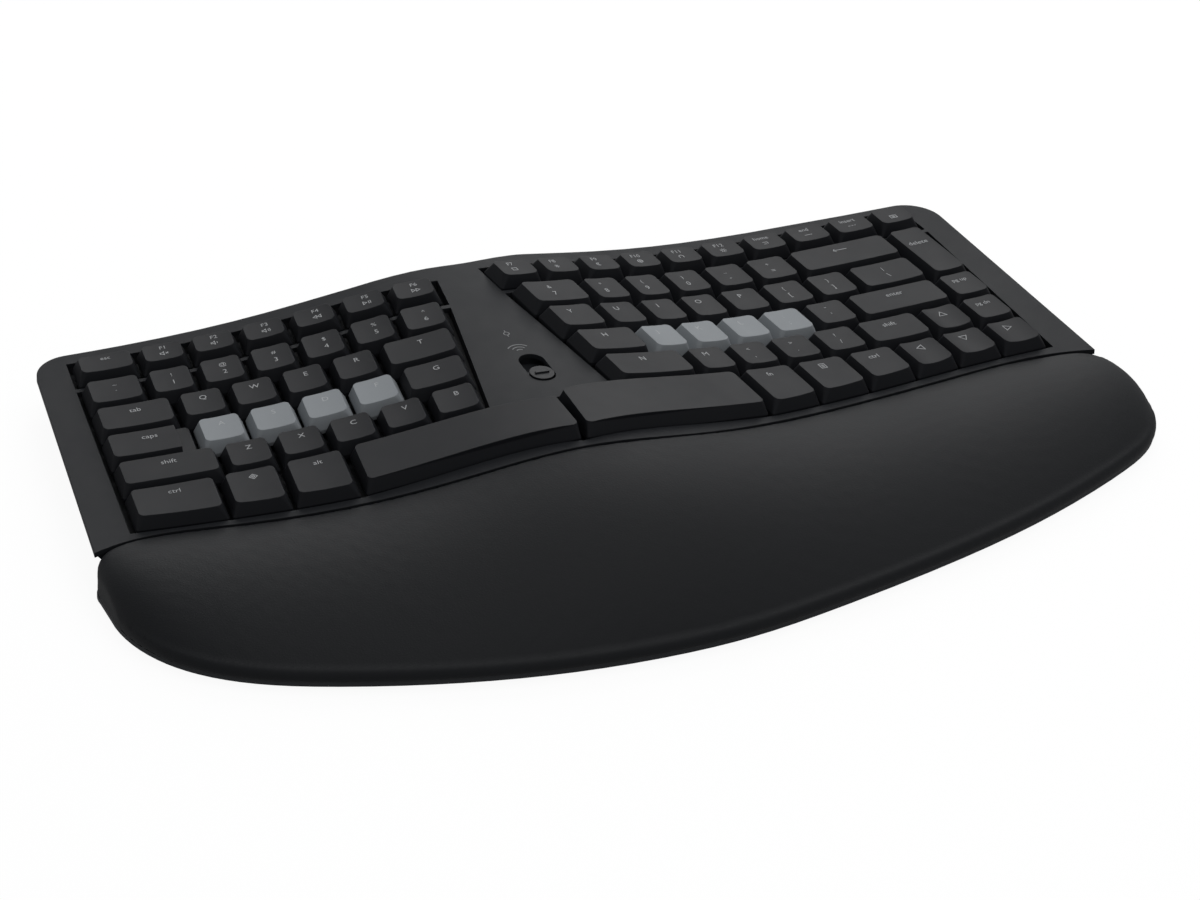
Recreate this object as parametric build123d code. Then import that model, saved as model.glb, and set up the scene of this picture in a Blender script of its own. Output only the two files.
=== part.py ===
from build123d import *
from functools import lru_cache
import math
import os

# Wireless split keyboard with a raised middle and a cushioned palm rest, in millimetres, +Z up.
# The user sits on the -Y side. Plan places are written in key pitches, so the plan follows
# KEY_PITCH, and heights hang from the curved surface that the key tops lie on. Each piece
# inside is placed by its drop, which is how far it lies below that surface.

# Key layout
KEY_PITCH = 19.05
SPLAY_ANGLE = 7.5
BLOCK_SHARES = {"left": (-7.690, 0.0), "right": (0.766, -0.735)}
CENTRE_LINE_SHARE = 0.144
BLOCK_GAP = 3.3

# Curved surface of the key tops above the desk: a bell curve across X, the same all along Y
WAVE_FOOT = 18.0
WAVE_RISE = 26.1
WAVE_HALF_WIDTH = 80.7
WAVE_START_SHARE = -11
WAVE_END_SHARE = 14
WAVE_ARC_SHARES = [-11, -8, -5.6, -4, -2.45, -1.2, 0, 1.2, 2.45, 4, 5.6, 8, 11, 14]

# Keycaps
KEY_TRAVEL = 3.0
CAP_GAP = 0.85
CAP_PROUD = 5.0
CAP_SINK = 1.5
CAP_SIDE_TAPER = 1.95
CAP_FRONT_TAPER = 2.0
CAP_BACK_TAPER = 1.4
CAP_WALL = 1.2
CAP_TOP_THICKNESS = 1.4
CAP_BASE_RADIUS = 1.0
CAP_TOP_RADIUS = 2.2
CAP_BULGE = 6.0
WIDE_CAP_SHARE = 1.9
DISH_DEPTH = 0.35
ARROW_DISH_DEPTH = 0.9
CAPS_STEP_WIDTH = 6.1
CAPS_STEP_DROP = 2.6

# Stems, guides and switch sheets
STEM_WIDTH = 4.2
STEM_GAP = 0.5
STEM_BELOW_DECK = 0.6
BARREL_WALL = 1.0
BARREL_RISE = 3.6
DECK_CLEARANCE = 0.6
DECK_THICKNESS = 1.2
RIM_WIDTH = 1.4
RIM_EASE = 0.4
DOME_GAP = 0.1
DOME_HEIGHT = 3.2
DOME_FOOT_RADIUS = 4.4
DOME_HEAD_RADIUS = 2.4
DOME_WALL = 0.5
DOME_SHEET_THICKNESS = 0.5
SHEET_GAP = 0.05
MEMBRANE_THICKNESS = 0.3
BACKING_THICKNESS = 0.7
BRIDGE_WIDTH = 22.0
BRIDGE_LENGTH = 57.0

# Case shells
PLATE_THICKNESS = 2.0
CASE_WALL = 2.0
SHELL_GAP = 0.3
FLOOR_THICKNESS = 2.2
FOOT_HEIGHT = 2.0
BACK_LEFT_RADIUS = 13.0
BACK_RIGHT_RADIUS = 14.0
SIDE_LEAN_ANGLE = 38
SHELF_DEPTH = 12.0
SHELF_GAP = 0.2
OPENING_FRONT_GAP = 1.0

# Palm rest
CARRIER_PLATE_THICKNESS = 1.8
CARRIER_INSET = 1.2
CARRIER_WALL = 2.4
PAD_THICKNESS = 8.0
PAD_LINING_GAP = 0.3
PAD_NOSE_HEIGHT = 5.0
PAD_NOSE_DEPTH = 3.5
PAD_NOSE_DRAW_SHARE = 0.32
PAD_EDGE_RADIUS = 1.6
PAD_CROWN_SHARE = 0.085
PAD_SEAM_GAP = 0.3
PAD_BACK_OVERRUN = 1.5
RIB_THICKNESS = 1.6

# Posts and screws
POST_RADIUS = 3.0
SCREW_SHANK_RADIUS = 1.3
SCREW_HEAD_RADIUS = 2.6
SCREW_HEAD_HEIGHT = 1.5
SCREW_CLEARANCE = 0.2
LONG_SCREW_LENGTH = 16.0
CARRIER_SCREW_LENGTH = 5.0
CARRIER_SCREW_SETBACK = 7.0
PLATE_SCREW_LENGTH = 4.6
PLATE_SCREW_HEAD_HEIGHT = 1.1
SPLIT_HEIGHT = 18.0

# Mode switch
SLOT_WIDTH = 10.0
SLOT_LENGTH = 20.0
SWITCH_PLACE_SHARE = (0.315, -4.147)
SWITCH_TRAVEL = 9.0
KNOB_WIDTH = 9.2
KNOB_LENGTH = 9.4
KNOB_PROUD = 0.4
KNOB_RIDGE = 1.0
KNOB_ROUND_SHARE = 0.49
RIDGE_LENGTH = 5.5
SLIDER_BASE_WIDTH = 12.0
SLIDER_BASE_LENGTH = 10.6
SLIDER_BASE_THICKNESS = 1.8
SWITCH_BODY_WIDTH = 15.0
SWITCH_BODY_LENGTH = 25.0
SWITCH_BODY_HEIGHT = 6.0
SWITCH_CLEARANCE = 0.35

# Controller board and ribbon
BOARD_WIDTH = 62.0
BOARD_DEPTH = 27.0
BOARD_THICKNESS = 1.6
BOARD_PLACE_SHARE = (0.26, -2.27)
BOARD_STANDOFF = 5.0
STANDOFF_RADIUS = 2.8
CHIP_SIZES = [(9.0, 9.0, 1.0), (6.0, 5.0, 1.2), (12.0, 8.0, 1.6)]
CHIP_PLACE_SHARES = [(-0.24, 0.1), (0.22, 0.25), (0.34, -0.15)]
CONNECTOR_WIDTH = 16.0
CONNECTOR_DEPTH = 4.5
CONNECTOR_HEIGHT = 2.4
RIBBON_WIDTH = 12.0
RIBBON_THICKNESS = 0.25
RIBBON_BEND_RADIUS = 1.6
RIBBON_SLOT_DEPTH = 8.0
RIBBON_PLACE_SHARE = (0.26, -1.45)

# Batteries
BATTERY_RADIUS = 7.25
BATTERY_LENGTH = 49.5
BATTERY_NUB_RADIUS = 2.7
BATTERY_NUB_LENGTH = 1.0
BATTERY_SPACING = 1.2
BATTERY_END_ROOM = 3.2
BATTERY_PLACE_SHARE = (0.16, -5.4)
BATTERY_LIFT = 0.8
BOX_WALL = 1.5
BOX_CLEARANCE = 0.4
CONTACT_THICKNESS = 0.4
CONTACT_RADIUS = 4.0
CONTACT_COIL_RADIUS = 2.6
DOOR_GAP = 0.3
DOOR_RIB_WIDTH = 3.0

# Tilt feet and rubber feet
TILT_FOOT_WIDTH = 34.0
TILT_FOOT_LENGTH = 15.0
TILT_FOOT_THICKNESS = 3.2
TILT_FOOT_CLEARANCE = 0.5
TILT_PIN_RADIUS = 1.0
TILT_PIN_LENGTH = 1.0
TILT_PIN_GAP = 0.15
POCKET_WALL = 1.4
TILT_PLACE_SHARES = {"left": (-5.7, -0.15), "right": (6.4, 0.05)}
PAD_FOOT_LENGTH = 22.0
PAD_FOOT_WIDTH = 5.0
RUBBER_PLACE_SHARES = [(-7.3, -0.2, -7), (10.2, 0.35, 4), (-7.6, -5.1, 0), (10.3, -4.4, 0),
                       (-6.26, -10.11, -20), (-2.34, -11.11, -8), (3.61, -10.81, 13), (8.95, -9.21, 23)]

# Every cut runs past its piece by this much
OVERRUN = 1.0
DEEP = 60.0
REACH = 400.0

# Key rows: the column edges between neighbouring cells, in key pitches from the block's corner
ROW_EDGE_SHARES = {
    "left": [
        [-0.03, 1.235, 2.24, 3.25, 4.26, 5.26, 6.265, 7.265],
        [-0.03, 1.195, 2.20, 3.205, 4.205, 5.195, 6.195, 7.215],
        [-0.03, 1.60, 2.61, 3.615, 4.61, 5.61, 7.165],
        [-0.03, 1.745, 2.755, 3.765, 4.765, 5.77, 7.135],
        [-0.01, 2.045, 3.07, 4.08, 5.08, 6.075, 7.105],
        [0.01, 1.83, 3.02, 4.295, 8.56],
    ],
    "right": [
        [0.04, 1.06, 2.04, 3.01, 3.98, 4.96, 5.975, 6.995, 8.065, 9.13, 10.115],
        [0.145, 1.60, 2.56, 3.50, 4.47, 5.475, 6.54, 9.00, 9.935],
        [0.185, 1.365, 2.335, 3.28, 4.23, 5.24, 6.29, 7.34, 8.955],
        [0.235, 1.72, 2.665, 3.63, 4.61, 5.63, 6.67, 8.88, 9.855],
        [0.285, 2.205, 3.18, 4.16, 5.17, 6.235, 7.765, 8.775, 9.755],
        [-1.28, 2.93, 4.17, 5.395, 6.56, 7.615, 8.68, 9.735],
    ],
}
ROW_BACK_SHARES = [0.43, -0.5, -1.5, -2.5, -3.5, -4.5]
ROW_FRONT_SHARES = [-0.363, -1.5, -2.5, -3.5, -4.5]
BOTTOM_FRONT_SHARES = {
    "left": [-5.60, -5.71, -5.80, -5.90, -5.80],
    "right": [-6.02, -5.91, -5.78, -5.67, -5.57, -5.50, -5.48, -5.51],
}
ROW_KEYS = {
    "left": [
        ["escape", "f1", "f2", "f3", "f4", "f5", "f6"],
        ["grave", "1", "2", "3", "4", "5", "6"],
        ["tab", "q", "w", "e", "r", "t"],
        ["caps", "a", "s", "d", "f", "g"],
        ["left_shift", "z", "x", "c", "v", "b"],
        ["left_control", "system", "alt", "left_space"],
    ],
    "right": [
        ["f7", "f8", "f9", "f10", "f11", "f12", "home", "end", "insert", "print"],
        ["7", "8", "9", "0", "minus", "equals", "backspace", "delete"],
        ["y", "u", "i", "o", "p", "left_bracket", "right_bracket", "backslash"],
        ["h", "j", "k", "l", "semicolon", "quote", "enter", "page_up"],
        ["n", "m", "comma", "stop", "slash", "right_shift", "up", "page_down"],
        ["right_space", "function", "menu", "right_control", "left", "down", "right"],
    ],
}
TALL_KEY = "delete"

# Keys that share one node
KEY_GROUPS = {
    "function_keys_left": ["escape", "f1", "f2", "f3", "f4", "f5", "f6"],
    "function_keys_right": ["f7", "f8", "f9", "f10", "f11", "f12"],
    "navigation_keys": ["home", "end", "insert", "print", "delete", "page_up", "page_down"],
    "number_keys_left": ["grave", "1", "2", "3", "4", "5", "6"],
    "number_keys_right": ["7", "8", "9", "0", "minus", "equals"],
    "modifier_keys_left": ["tab", "left_shift", "left_control", "system", "alt"],
    "modifier_keys_right": ["right_shift", "function", "menu", "right_control"],
    "punctuation_keys": ["left_bracket", "right_bracket", "backslash", "semicolon", "quote",
                         "comma", "stop", "slash"],
    "arrow_keys": ["up", "left", "down", "right"],
}
SINGLE_NODES = {"left_space": "left_space_bar", "right_space": "right_space_bar",
                "enter": "enter_key", "backspace": "backspace_key", "caps": "caps_lock_key"}

# Openings round the key blocks, in pitches: the side lines at the top and bottom of each
OPENING_BACK_SHARE = 0.577
BAR_BACK_SHARE = -0.386
BAR_FRONT_SHARE = -0.499
KNEE_SHARE = -4.46
OPENING_SHARES = {
    "left": {"outer": (-0.075, -0.075), "inner": (7.40, 7.20)},
    "right": {"outer": (10.18, 9.83), "inner": (0.0, 0.20)},
}

# Plan of the case: the left side, the back and the right side, then the seam to the palm rest
CASE_CORNER_SHARES = [(-9.318, -5.95), (-8.268, 0.982), (-1.85, 0.235), (0.45, 0.075),
                      (1.75, 0.385), (8.25, 1.115), (11.42, 1.375), (12.0, -5.31)]
CASE_BEND_SHARES = [0, 0, 2.6, 2.6, 2.6, 2.6, 0, 0]
SEAM_SHARES = [(-9.318, -5.95), (-8.3, -5.80), (-6.55, -6.13), (-4.2, -6.66), (-1.8, -7.03),
               (0.2, -7.13), (2.2, -6.95), (4.5, -6.45), (6.9, -5.88), (9.15, -5.41),
               (11.0, -5.20), (12.0, -5.31)]
SEAM_SEARCH_STEPS = 40

# Palm rest: at each place along X, the nose, the height as a share of the case's, and how far
# the back is drawn in from the seam
PAD_STATION_SHARES = [
    (-9.38, -7.35, 0.62, 0.50),
    (-9.22, -8.15, 0.90, 0.06),
    (-8.80, -8.93, 1.0, 0),
    (-8.10, -9.62, 1.0, 0),
    (-6.20, -10.55, 1.0, 0),
    (-4.28, -11.13, 1.0, 0),
    (-2.41, -11.50, 1.0, 0),
    (-0.30, -11.67, 1.0, 0),
    (1.52, -11.60, 1.0, 0),
    (3.78, -11.18, 1.0, 0),
    (6.25, -10.55, 1.0, 0),
    (8.77, -9.71, 1.0, 0),
    (9.97, -9.19, 1.0, 0),
    (11.02, -8.66, 1.0, 0.02),
    (11.86, -8.08, 0.97, 0.05),
    (12.25, -7.55, 0.82, 0.28),
    (12.40, -6.85, 0.55, 0.68),
]
HUMP_STATIONS = [3, 5, 7, 9, 11, 13]
RIB_SHARES = [-6.0, -3.0, 0.0, 3.0, 6.0, 9.0]
CARRIER_SCREW_SHARES = [-5.9, -2.6, 3.1, 8.2]
CENTRE_SCREW_SHARES = [(0.24, -0.42), (0.30, -3.25)]
PLATE_SCREW_SHARES = {
    "left": [(1.2, -1.5), (4.61, -1.5), (6.2, -0.5), (1.75, -3.5), (4.77, -3.5), (5.9, -4.5)],
    "right": [(1.5, -0.5), (4.35, -1.5), (7.34, -1.5), (2.1, -3.5), (4.9, -3.5), (7.6, -3.5)],
}
SUPPORT_SHARES = {
    "left": [(0.4, -0.5), (3.1, -2.5), (0.4, -4.5), (4.2, -5.4), (6.8, -2.5)],
    "right": [(9.5, -0.5), (5.2, -0.5), (9.3, -4.5), (5.2, -4.5), (0.9, -2.5)],
}

# Drops below the key tops, worked out from the sizes above
PLATE_DROP = CAP_PROUD + PLATE_THICKNESS
SKIRT_DROP = CAP_PROUD + CAP_SINK
DECK_DROP = SKIRT_DROP + KEY_TRAVEL + DECK_CLEARANCE
DECK_FOOT_DROP = DECK_DROP + DECK_THICKNESS
STEM_DROP = DECK_FOOT_DROP + STEM_BELOW_DECK
DOME_FOOT_DROP = STEM_DROP + DOME_GAP + DOME_HEIGHT
MEMBRANE_DROP = DOME_FOOT_DROP + DOME_SHEET_THICKNESS + SHEET_GAP
BACKING_DROP = MEMBRANE_DROP + MEMBRANE_THICKNESS + SHEET_GAP
STACK_DROP = BACKING_DROP + BACKING_THICKNESS
FLOOR_TOP = FOOT_HEIGHT + FLOOR_THICKNESS
STEM_HALF = STEM_WIDTH / 2
CENTRE_X = CENTRE_LINE_SHARE * KEY_PITCH


def wave(x):
    """Height of the key tops above the desk."""
    return WAVE_FOOT + WAVE_RISE / (1 + (x / WAVE_HALF_WIDTH) ** 2)


def wave_slope(x):
    """Rise of the key tops per unit of X."""
    return -2 * WAVE_RISE * x / WAVE_HALF_WIDTH**2 / (1 + (x / WAVE_HALF_WIDTH) ** 2) ** 2


def wave_point(x, drop):
    return (x, 0, wave(x) - drop)


def wave_line(drop):
    """The curve of the key tops, lowered by a drop, in the XZ plane."""
    stations = range(WAVE_START_SHARE, WAVE_END_SHARE + 1)
    return Spline(*[wave_point(share * KEY_PITCH, drop) for share in stations])


def wave_arcs(drop):
    """The same curve as a chain of arcs, for the pieces inside."""
    arcs = []
    for start_share, end_share in zip(WAVE_ARC_SHARES, WAVE_ARC_SHARES[1:]):
        start = start_share * KEY_PITCH
        end = end_share * KEY_PITCH
        points = [wave_point(x, drop) for x in (start, (start + end) / 2, end)]
        arcs.append(ThreePointArc(*points))
    return Wire([arc.edge() for arc in arcs])


@lru_cache(maxsize=None)
def wave_band(top_drop, foot_drop):
    """Solid between two lowered copies of the key-top curve, all along Y."""
    return band_solid(wave_line(top_drop), wave_line(foot_drop))


@lru_cache(maxsize=None)
def inner_band(top_drop, foot_drop):
    """The same band between arcs, for the pieces inside."""
    return band_solid(wave_arcs(top_drop), wave_arcs(foot_drop))


def band_solid(top, foot):
    ends = [Line(top @ 0, foot @ 0), Line(top @ 1, foot @ 1)]
    face = make_face([*top.edges(), *foot.edges(), *ends])
    return extrude(face, amount=REACH, both=True)


def pitches(share):
    """Plan point from its shares of the key pitch."""
    return (share[0] * KEY_PITCH, share[1] * KEY_PITCH)


def splay(side):
    return -SPLAY_ANGLE if side == "left" else SPLAY_ANGLE


def block_point(side, u, v):
    """Plan point of a place in a key block: u along the rows and v towards the back."""
    turn = math.radians(splay(side))
    corner = pitches(BLOCK_SHARES[side])
    x = corner[0] + u * math.cos(turn) - v * math.sin(turn)
    y = corner[1] + u * math.sin(turn) + v * math.cos(turn)
    return (x, y)


def inner_u(side, v):
    """Column where a row line of the block meets the centre line."""
    turn = math.radians(splay(side))
    half_gap = -BLOCK_GAP / 2 if side == "left" else BLOCK_GAP / 2
    run = CENTRE_X + half_gap - BLOCK_SHARES[side][0] * KEY_PITCH
    return (run + v * math.sin(turn)) / math.cos(turn)


def surface_plane(side, u, v, slope=None, drop=0):
    """Plane on the key-top surface, its X along the row and its Z away from the case."""
    x, y = block_point(side, u, v)
    tilt = wave_slope(x) if slope is None else slope
    turn = math.radians(splay(side))
    along = (math.cos(turn), math.sin(turn), tilt * math.cos(turn))
    normal = Vector(-tilt, 0, 1).normalized()
    origin = Vector(x, y, wave(x)) - normal * drop
    return Plane(origin=origin, x_dir=along, z_dir=normal)


def key_cell(side, row, column):
    """Base corners of a key in its block: back left, back right, front right, front left."""
    edges = ROW_EDGE_SHARES[side][row]
    name = ROW_KEYS[side][row][column]
    half_gap = CAP_GAP / 2
    left = edges[column] * KEY_PITCH + half_gap
    right = edges[column + 1] * KEY_PITCH - half_gap
    back = ROW_BACK_SHARES[row] * KEY_PITCH - half_gap
    corners = [left, right, right, left]
    if row < len(ROW_FRONT_SHARES):
        front_row = row + 1 if name == TALL_KEY else row
        front = ROW_FRONT_SHARES[front_row] * KEY_PITCH + half_gap
        fronts = (front, front)
    else:
        shares = BOTTOM_FRONT_SHARES[side]
        fronts = [shares[column] * KEY_PITCH, shares[column + 1] * KEY_PITCH]
        if name == "left_space":
            corners[1:3] = [inner_u(side, back), inner_u(side, fronts[1])]
        if name == "right_space":
            corners[0] = inner_u(side, back)
            corners[3] = inner_u(side, fronts[0])
    return [(corners[0], back), (corners[1], back), (corners[2], fronts[1]), (corners[3], fronts[0])]


def cell_centre(corners):
    return (sum(c[0] for c in corners) / 4, sum(c[1] for c in corners) / 4)


def is_wide(corners):
    return corners[1][0] - corners[0][0] > WIDE_CAP_SHARE * KEY_PITCH


def key_slope(side, corners):
    """Slope of a key: the surface's own on a small key, and the chord's on a wide one."""
    middle = cell_centre(corners)
    if not is_wide(corners):
        return wave_slope(block_point(side, *middle)[0])
    start = block_point(side, corners[3][0], middle[1])[0]
    end = block_point(side, corners[1][0], middle[1])[0]
    return (wave(end) - wave(start)) / (end - start)


def shrink(corners, left, right, front, back):
    """Corners drawn in by an amount on each side."""
    moves = [(left, -back), (-right, -back), (-right, front), (left, front)]
    return [(c[0] + m[0], c[1] + m[1]) for c, m in zip(corners, moves)]


def tapers(name):
    """How far the top of a cap is drawn in on its left, right, front and back."""
    left = 0 if name == "right_space" else CAP_SIDE_TAPER
    right = 0 if name == "left_space" else CAP_SIDE_TAPER
    return (left, right, CAP_FRONT_TAPER, CAP_BACK_TAPER)


def rounded_face(corners, radius):
    face = make_face(Polyline(*corners, close=True)).face()
    return face.fillet_2d(radius, face.vertices())


def cap_body(corners, taper, top_z, foot_z, inset, top_radius, base_radius):
    """Tapered upper part and straight skirt of a keycap, drawn in by an inset."""
    share = (top_z + CAP_PROUD) / CAP_PROUD
    base = shrink(corners, inset, inset, inset, inset)
    top = shrink(base, *[amount * share for amount in taper])
    base_face = rounded_face(base, base_radius)
    top_face = rounded_face(top, top_radius)
    levels = [Pos(0, 0, foot_z) * base_face, Pos(0, 0, -CAP_PROUD) * base_face]
    return Solid.make_loft([level.wire() for level in [*levels, Pos(0, 0, top_z) * top_face]], True)


def dish(corners, depth):
    """Cylinder that hollows the top of a cap from side to side."""
    width = corners[1][0] - corners[0][0] - 2 * CAP_SIDE_TAPER
    radius = (width**2 / 4 + depth**2) / (2 * depth)
    return Pos(0, 0, radius - depth) * Rot(90, 0, 0) * Cylinder(radius, 2 * KEY_PITCH)


def stem_places(corners):
    """One stem on a small key, and two more as guides at the ends of a long one."""
    width = corners[1][0] - corners[0][0]
    if width < 2 * KEY_PITCH:
        return [0]
    return [0, -width / 3, width / 3]


def key_cap(side, corners, name):
    """Hollow cap with its moulded stem, in place."""
    middle = cell_centre(corners)
    slope = key_slope(side, corners)
    plane = surface_plane(side, *middle, slope=slope)
    local = [(c[0] - middle[0], c[1] - middle[1]) for c in corners]
    wide = is_wide(corners)
    if wide:
        ends = [block_point(side, c[0], middle[1])[0] for c in (corners[3], corners[1])]
        plane = plane.move(Pos(0, 0, sum(wave(x) for x in ends) / 2 - plane.origin.Z))
    extra = CAP_BULGE if wide else 0
    reach = CAP_SINK + CAP_BULGE if wide else CAP_SINK
    taper = tapers(name)
    outer = cap_body(local, taper, 0, -CAP_PROUD - reach, 0, CAP_TOP_RADIUS, CAP_BASE_RADIUS)
    inner = cap_body(local, taper, -CAP_TOP_THICKNESS, -CAP_PROUD - reach - OVERRUN, CAP_WALL,
                     CAP_TOP_RADIUS / 2, CAP_BASE_RADIUS / 2)
    if wide:
        crown = shrink(local, *taper)
        outer += extrude(rounded_face(crown, CAP_TOP_RADIUS), amount=extra)
        hollow = shrink(crown, CAP_WALL, CAP_WALL, CAP_WALL, CAP_WALL)
        inner += extrude(Pos(0, 0, -CAP_TOP_THICKNESS) * rounded_face(hollow, CAP_TOP_RADIUS / 2),
                         amount=extra)
        outer = plane * outer & wave_band(0, SKIRT_DROP)
        inner = plane * inner & wave_band(CAP_TOP_THICKNESS, SKIRT_DROP + OVERRUN)
        cap = outer - inner
    else:
        if name == "caps":
            step_x = local[1][0] - CAPS_STEP_WIDTH
            step = Box(2 * CAPS_STEP_WIDTH, 2 * KEY_PITCH, 2 * CAPS_STEP_DROP,
                       align=(Align.MIN, Align.CENTER, Align.CENTER))
            outer -= Pos(step_x, 0, 0) * step
            room = Pos(step_x - CAP_WALL, 0, 0) * step
            inner -= room + Pos(0, 0, -CAP_TOP_THICKNESS) * room
        cap = plane * (outer - inner)
    length = STEM_DROP - CAP_TOP_THICKNESS / 2
    for place in stem_places(corners):
        stem_plane = surface_plane(side, middle[0] + place, middle[1], slope, STEM_DROP)
        cap += stem_plane * up_box(0, 0, 0, STEM_WIDTH, STEM_WIDTH, length)
    if not wide:
        arrow = name in KEY_GROUPS["arrow_keys"]
        cap -= plane * dish(local, ARROW_DISH_DEPTH if arrow else DISH_DEPTH)
    return cap


def all_keys():
    """Every key as its side, name and base corners."""
    keys = []
    for side, rows in ROW_KEYS.items():
        for row, names in enumerate(rows):
            for column, name in enumerate(names):
                keys.append((side, name, key_cell(side, row, column)))
    return keys


def key_node(name):
    """Node that holds a key."""
    for group, names in KEY_GROUPS.items():
        if name in names:
            return group
    return SINGLE_NODES.get(name, name + "_key")


def stem_planes(side, drop):
    """Planes at every stem of a block, lowered to a drop."""
    planes = []
    for key_side, _, corners in all_keys():
        if key_side != side:
            continue
        middle = cell_centre(corners)
        slope = key_slope(side, corners)
        for place in stem_places(corners):
            planes.append(surface_plane(side, middle[0] + place, middle[1], slope, drop))
    return planes


def front_line(side, gap):
    """Points just ahead of the bottom row's fronts, in the block."""
    points = []
    edges = ROW_EDGE_SHARES[side][-1]
    for edge, share in zip(edges, BOTTOM_FRONT_SHARES[side]):
        v = share * KEY_PITCH - gap
        points.append((edge * KEY_PITCH, v))
    return points


def block_outline(side, reach_inner, gap=OPENING_FRONT_GAP):
    """Plan points round the main rows of a block, from its back outer corner."""
    outer = OPENING_SHARES[side]["outer"]
    inner = OPENING_SHARES[side]["inner"]
    bar = BAR_FRONT_SHARE * KEY_PITCH
    knee = KNEE_SHARE * KEY_PITCH
    fronts = front_line(side, gap)
    if side == "right":
        fronts = fronts[::-1]
    outer_front = (outer[1] * KEY_PITCH, fronts[0][1])
    middle = fronts[1:-1]
    toe = fronts[-1][1]
    points = [(outer[0] * KEY_PITCH, bar), outer_front, *middle]
    points.append((inner_u(side, toe) + reach_inner, toe))
    points.append((inner_u(side, knee) + reach_inner, knee))
    points += [(inner[1] * KEY_PITCH, knee), (inner[0] * KEY_PITCH, bar)]
    return [block_point(side, *point) for point in points]


def upper_outline(side, front_share):
    """Plan points round the narrow top row of a block."""
    outer = OPENING_SHARES[side]["outer"][0] * KEY_PITCH
    inner = OPENING_SHARES[side]["inner"][0] * KEY_PITCH
    back = OPENING_BACK_SHARE * KEY_PITCH
    front = front_share * KEY_PITCH
    corners = [(outer, back), (outer, front), (inner, front), (inner, back)]
    return [block_point(side, *corner) for corner in corners]


def plan_prism(points, low, high):
    face = make_face(Polyline(*points, close=True)).face()
    return extrude(Pos(0, 0, low) * face, amount=high - low, dir=(0, 0, 1))


def block_prism(side):
    """Plan of a whole block, from the desk up past the case."""
    prism = plan_prism(block_outline(side, 0), 0, DEEP)
    return prism + plan_prism(upper_outline(side, BAR_FRONT_SHARE), 0, DEEP)


@lru_cache(maxsize=None)
def seam_curve():
    return Spline(*[pitches(share) for share in SEAM_SHARES])


def seam_y(x):
    """Seam between case and palm rest at a place along X."""
    curve = seam_curve()
    low, high = 0, 1
    for _ in range(SEAM_SEARCH_STEPS):
        middle = (low + high) / 2
        if (curve @ middle).X < x:
            low = middle
        else:
            high = middle
    return (curve @ low).Y


def case_face(inset):
    """Plan of the case drawn in by an inset, with its seam as a smooth curve."""
    corners = [Vector(*pitches(share)) for share in CASE_CORNER_SHARES]
    corners[0] += (corners[1] - corners[0]).normalized() * inset
    corners[-1] += (corners[-2] - corners[-1]).normalized() * inset
    radii = [share * KEY_PITCH for share in CASE_BEND_SHARES]
    radii[1] = BACK_LEFT_RADIUS
    radii[-2] = BACK_RIGHT_RADIUS
    walls = FilletPolyline(*corners, radius=radii[1:-1]).wire()
    if inset:
        walls = walls.offset_2d(inset, side=Side.RIGHT, closed=False)
    left, right = sorted([walls @ 0, walls @ 1], key=lambda point: point.X)
    middle = [pitches(share) for share in SEAM_SHARES[1:-1]]
    seam = Spline(left, *[(x, y + inset) for x, y in middle], right)
    return make_face([*walls.edges(), *seam.edges()]).face()


def case_prism(inset):
    """Plan of the case drawn in by an inset, with its leaning left and right sides."""
    prism = extrude(case_face(inset), amount=DEEP, dir=(0, 0, 1))
    corners = [Vector(*pitches(share)) for share in CASE_CORNER_SHARES]
    for start, end in ((corners[1], corners[0]), (corners[-1], corners[-2])):
        top = wave(start.X) - PLATE_DROP
        along = (end - start).normalized()
        inward = Vector(0, 0, 1).cross(along)
        run = (top - FOOT_HEIGHT) * math.tan(math.radians(SIDE_LEAN_ANGLE))
        lean = run / (top - FOOT_HEIGHT)
        shift = inset / math.cos(math.radians(SIDE_LEAN_ANGLE))
        base = start - along * REACH / 2
        plane = Plane(origin=base, x_dir=inward, z_dir=along)
        foot = (run + shift + lean * FOOT_HEIGHT, 0)
        wedge = Polyline(foot, (shift, top), (shift, DEEP), (-DEEP, DEEP), (-DEEP, 0), close=True)
        wedge_face = make_face(plane * wedge)
        prism -= extrude(wedge_face, amount=2 * REACH, dir=along)
    return prism


def switch_plane():
    """Plane on the key-top surface over the mode switch, its X along the case's X."""
    x, y = pitches(SWITCH_PLACE_SHARE)
    tilt = wave_slope(x)
    return Plane(origin=(x, y, wave(x)), x_dir=(1, 0, tilt), z_dir=(-tilt, 0, 1))


def top_case():
    """Curved upper shell with its key openings, switch slot and two screw bosses."""
    shell = extrude(case_face(0), amount=DEEP, dir=(0, 0, 1)) & wave_band(CAP_PROUD, PLATE_DROP)
    for side in ("left", "right"):
        overlap = BLOCK_GAP if side == "left" else -BLOCK_GAP
        shell -= plan_prism(block_outline(side, overlap), 0, DEEP)
        shell -= plan_prism(upper_outline(side, BAR_BACK_SHARE), 0, DEEP)
    slot = SlotOverall(SLOT_LENGTH, SLOT_WIDTH, rotation=90)
    shell -= switch_plane() * extrude(slot, amount=PLATE_DROP + OVERRUN, both=True)
    for share in CENTRE_SCREW_SHARES:
        x, y = pitches(share)
        boss = Pos(x, y, SPLIT_HEIGHT + SHELL_GAP) * Cylinder(
            POST_RADIUS, DEEP, align=(Align.CENTER, Align.CENTER, Align.MIN))
        boss &= wave_band(PLATE_DROP - PLATE_THICKNESS / 2, DEEP)
        bore_top = FOOT_HEIGHT + SCREW_HEAD_HEIGHT + LONG_SCREW_LENGTH + OVERRUN
        bore = Pos(x, y, 0) * Cylinder(SCREW_SHANK_RADIUS + SCREW_CLEARANCE, bore_top,
                                       align=(Align.CENTER, Align.CENTER, Align.MIN))
        shell += boss - bore
    return shell


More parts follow.
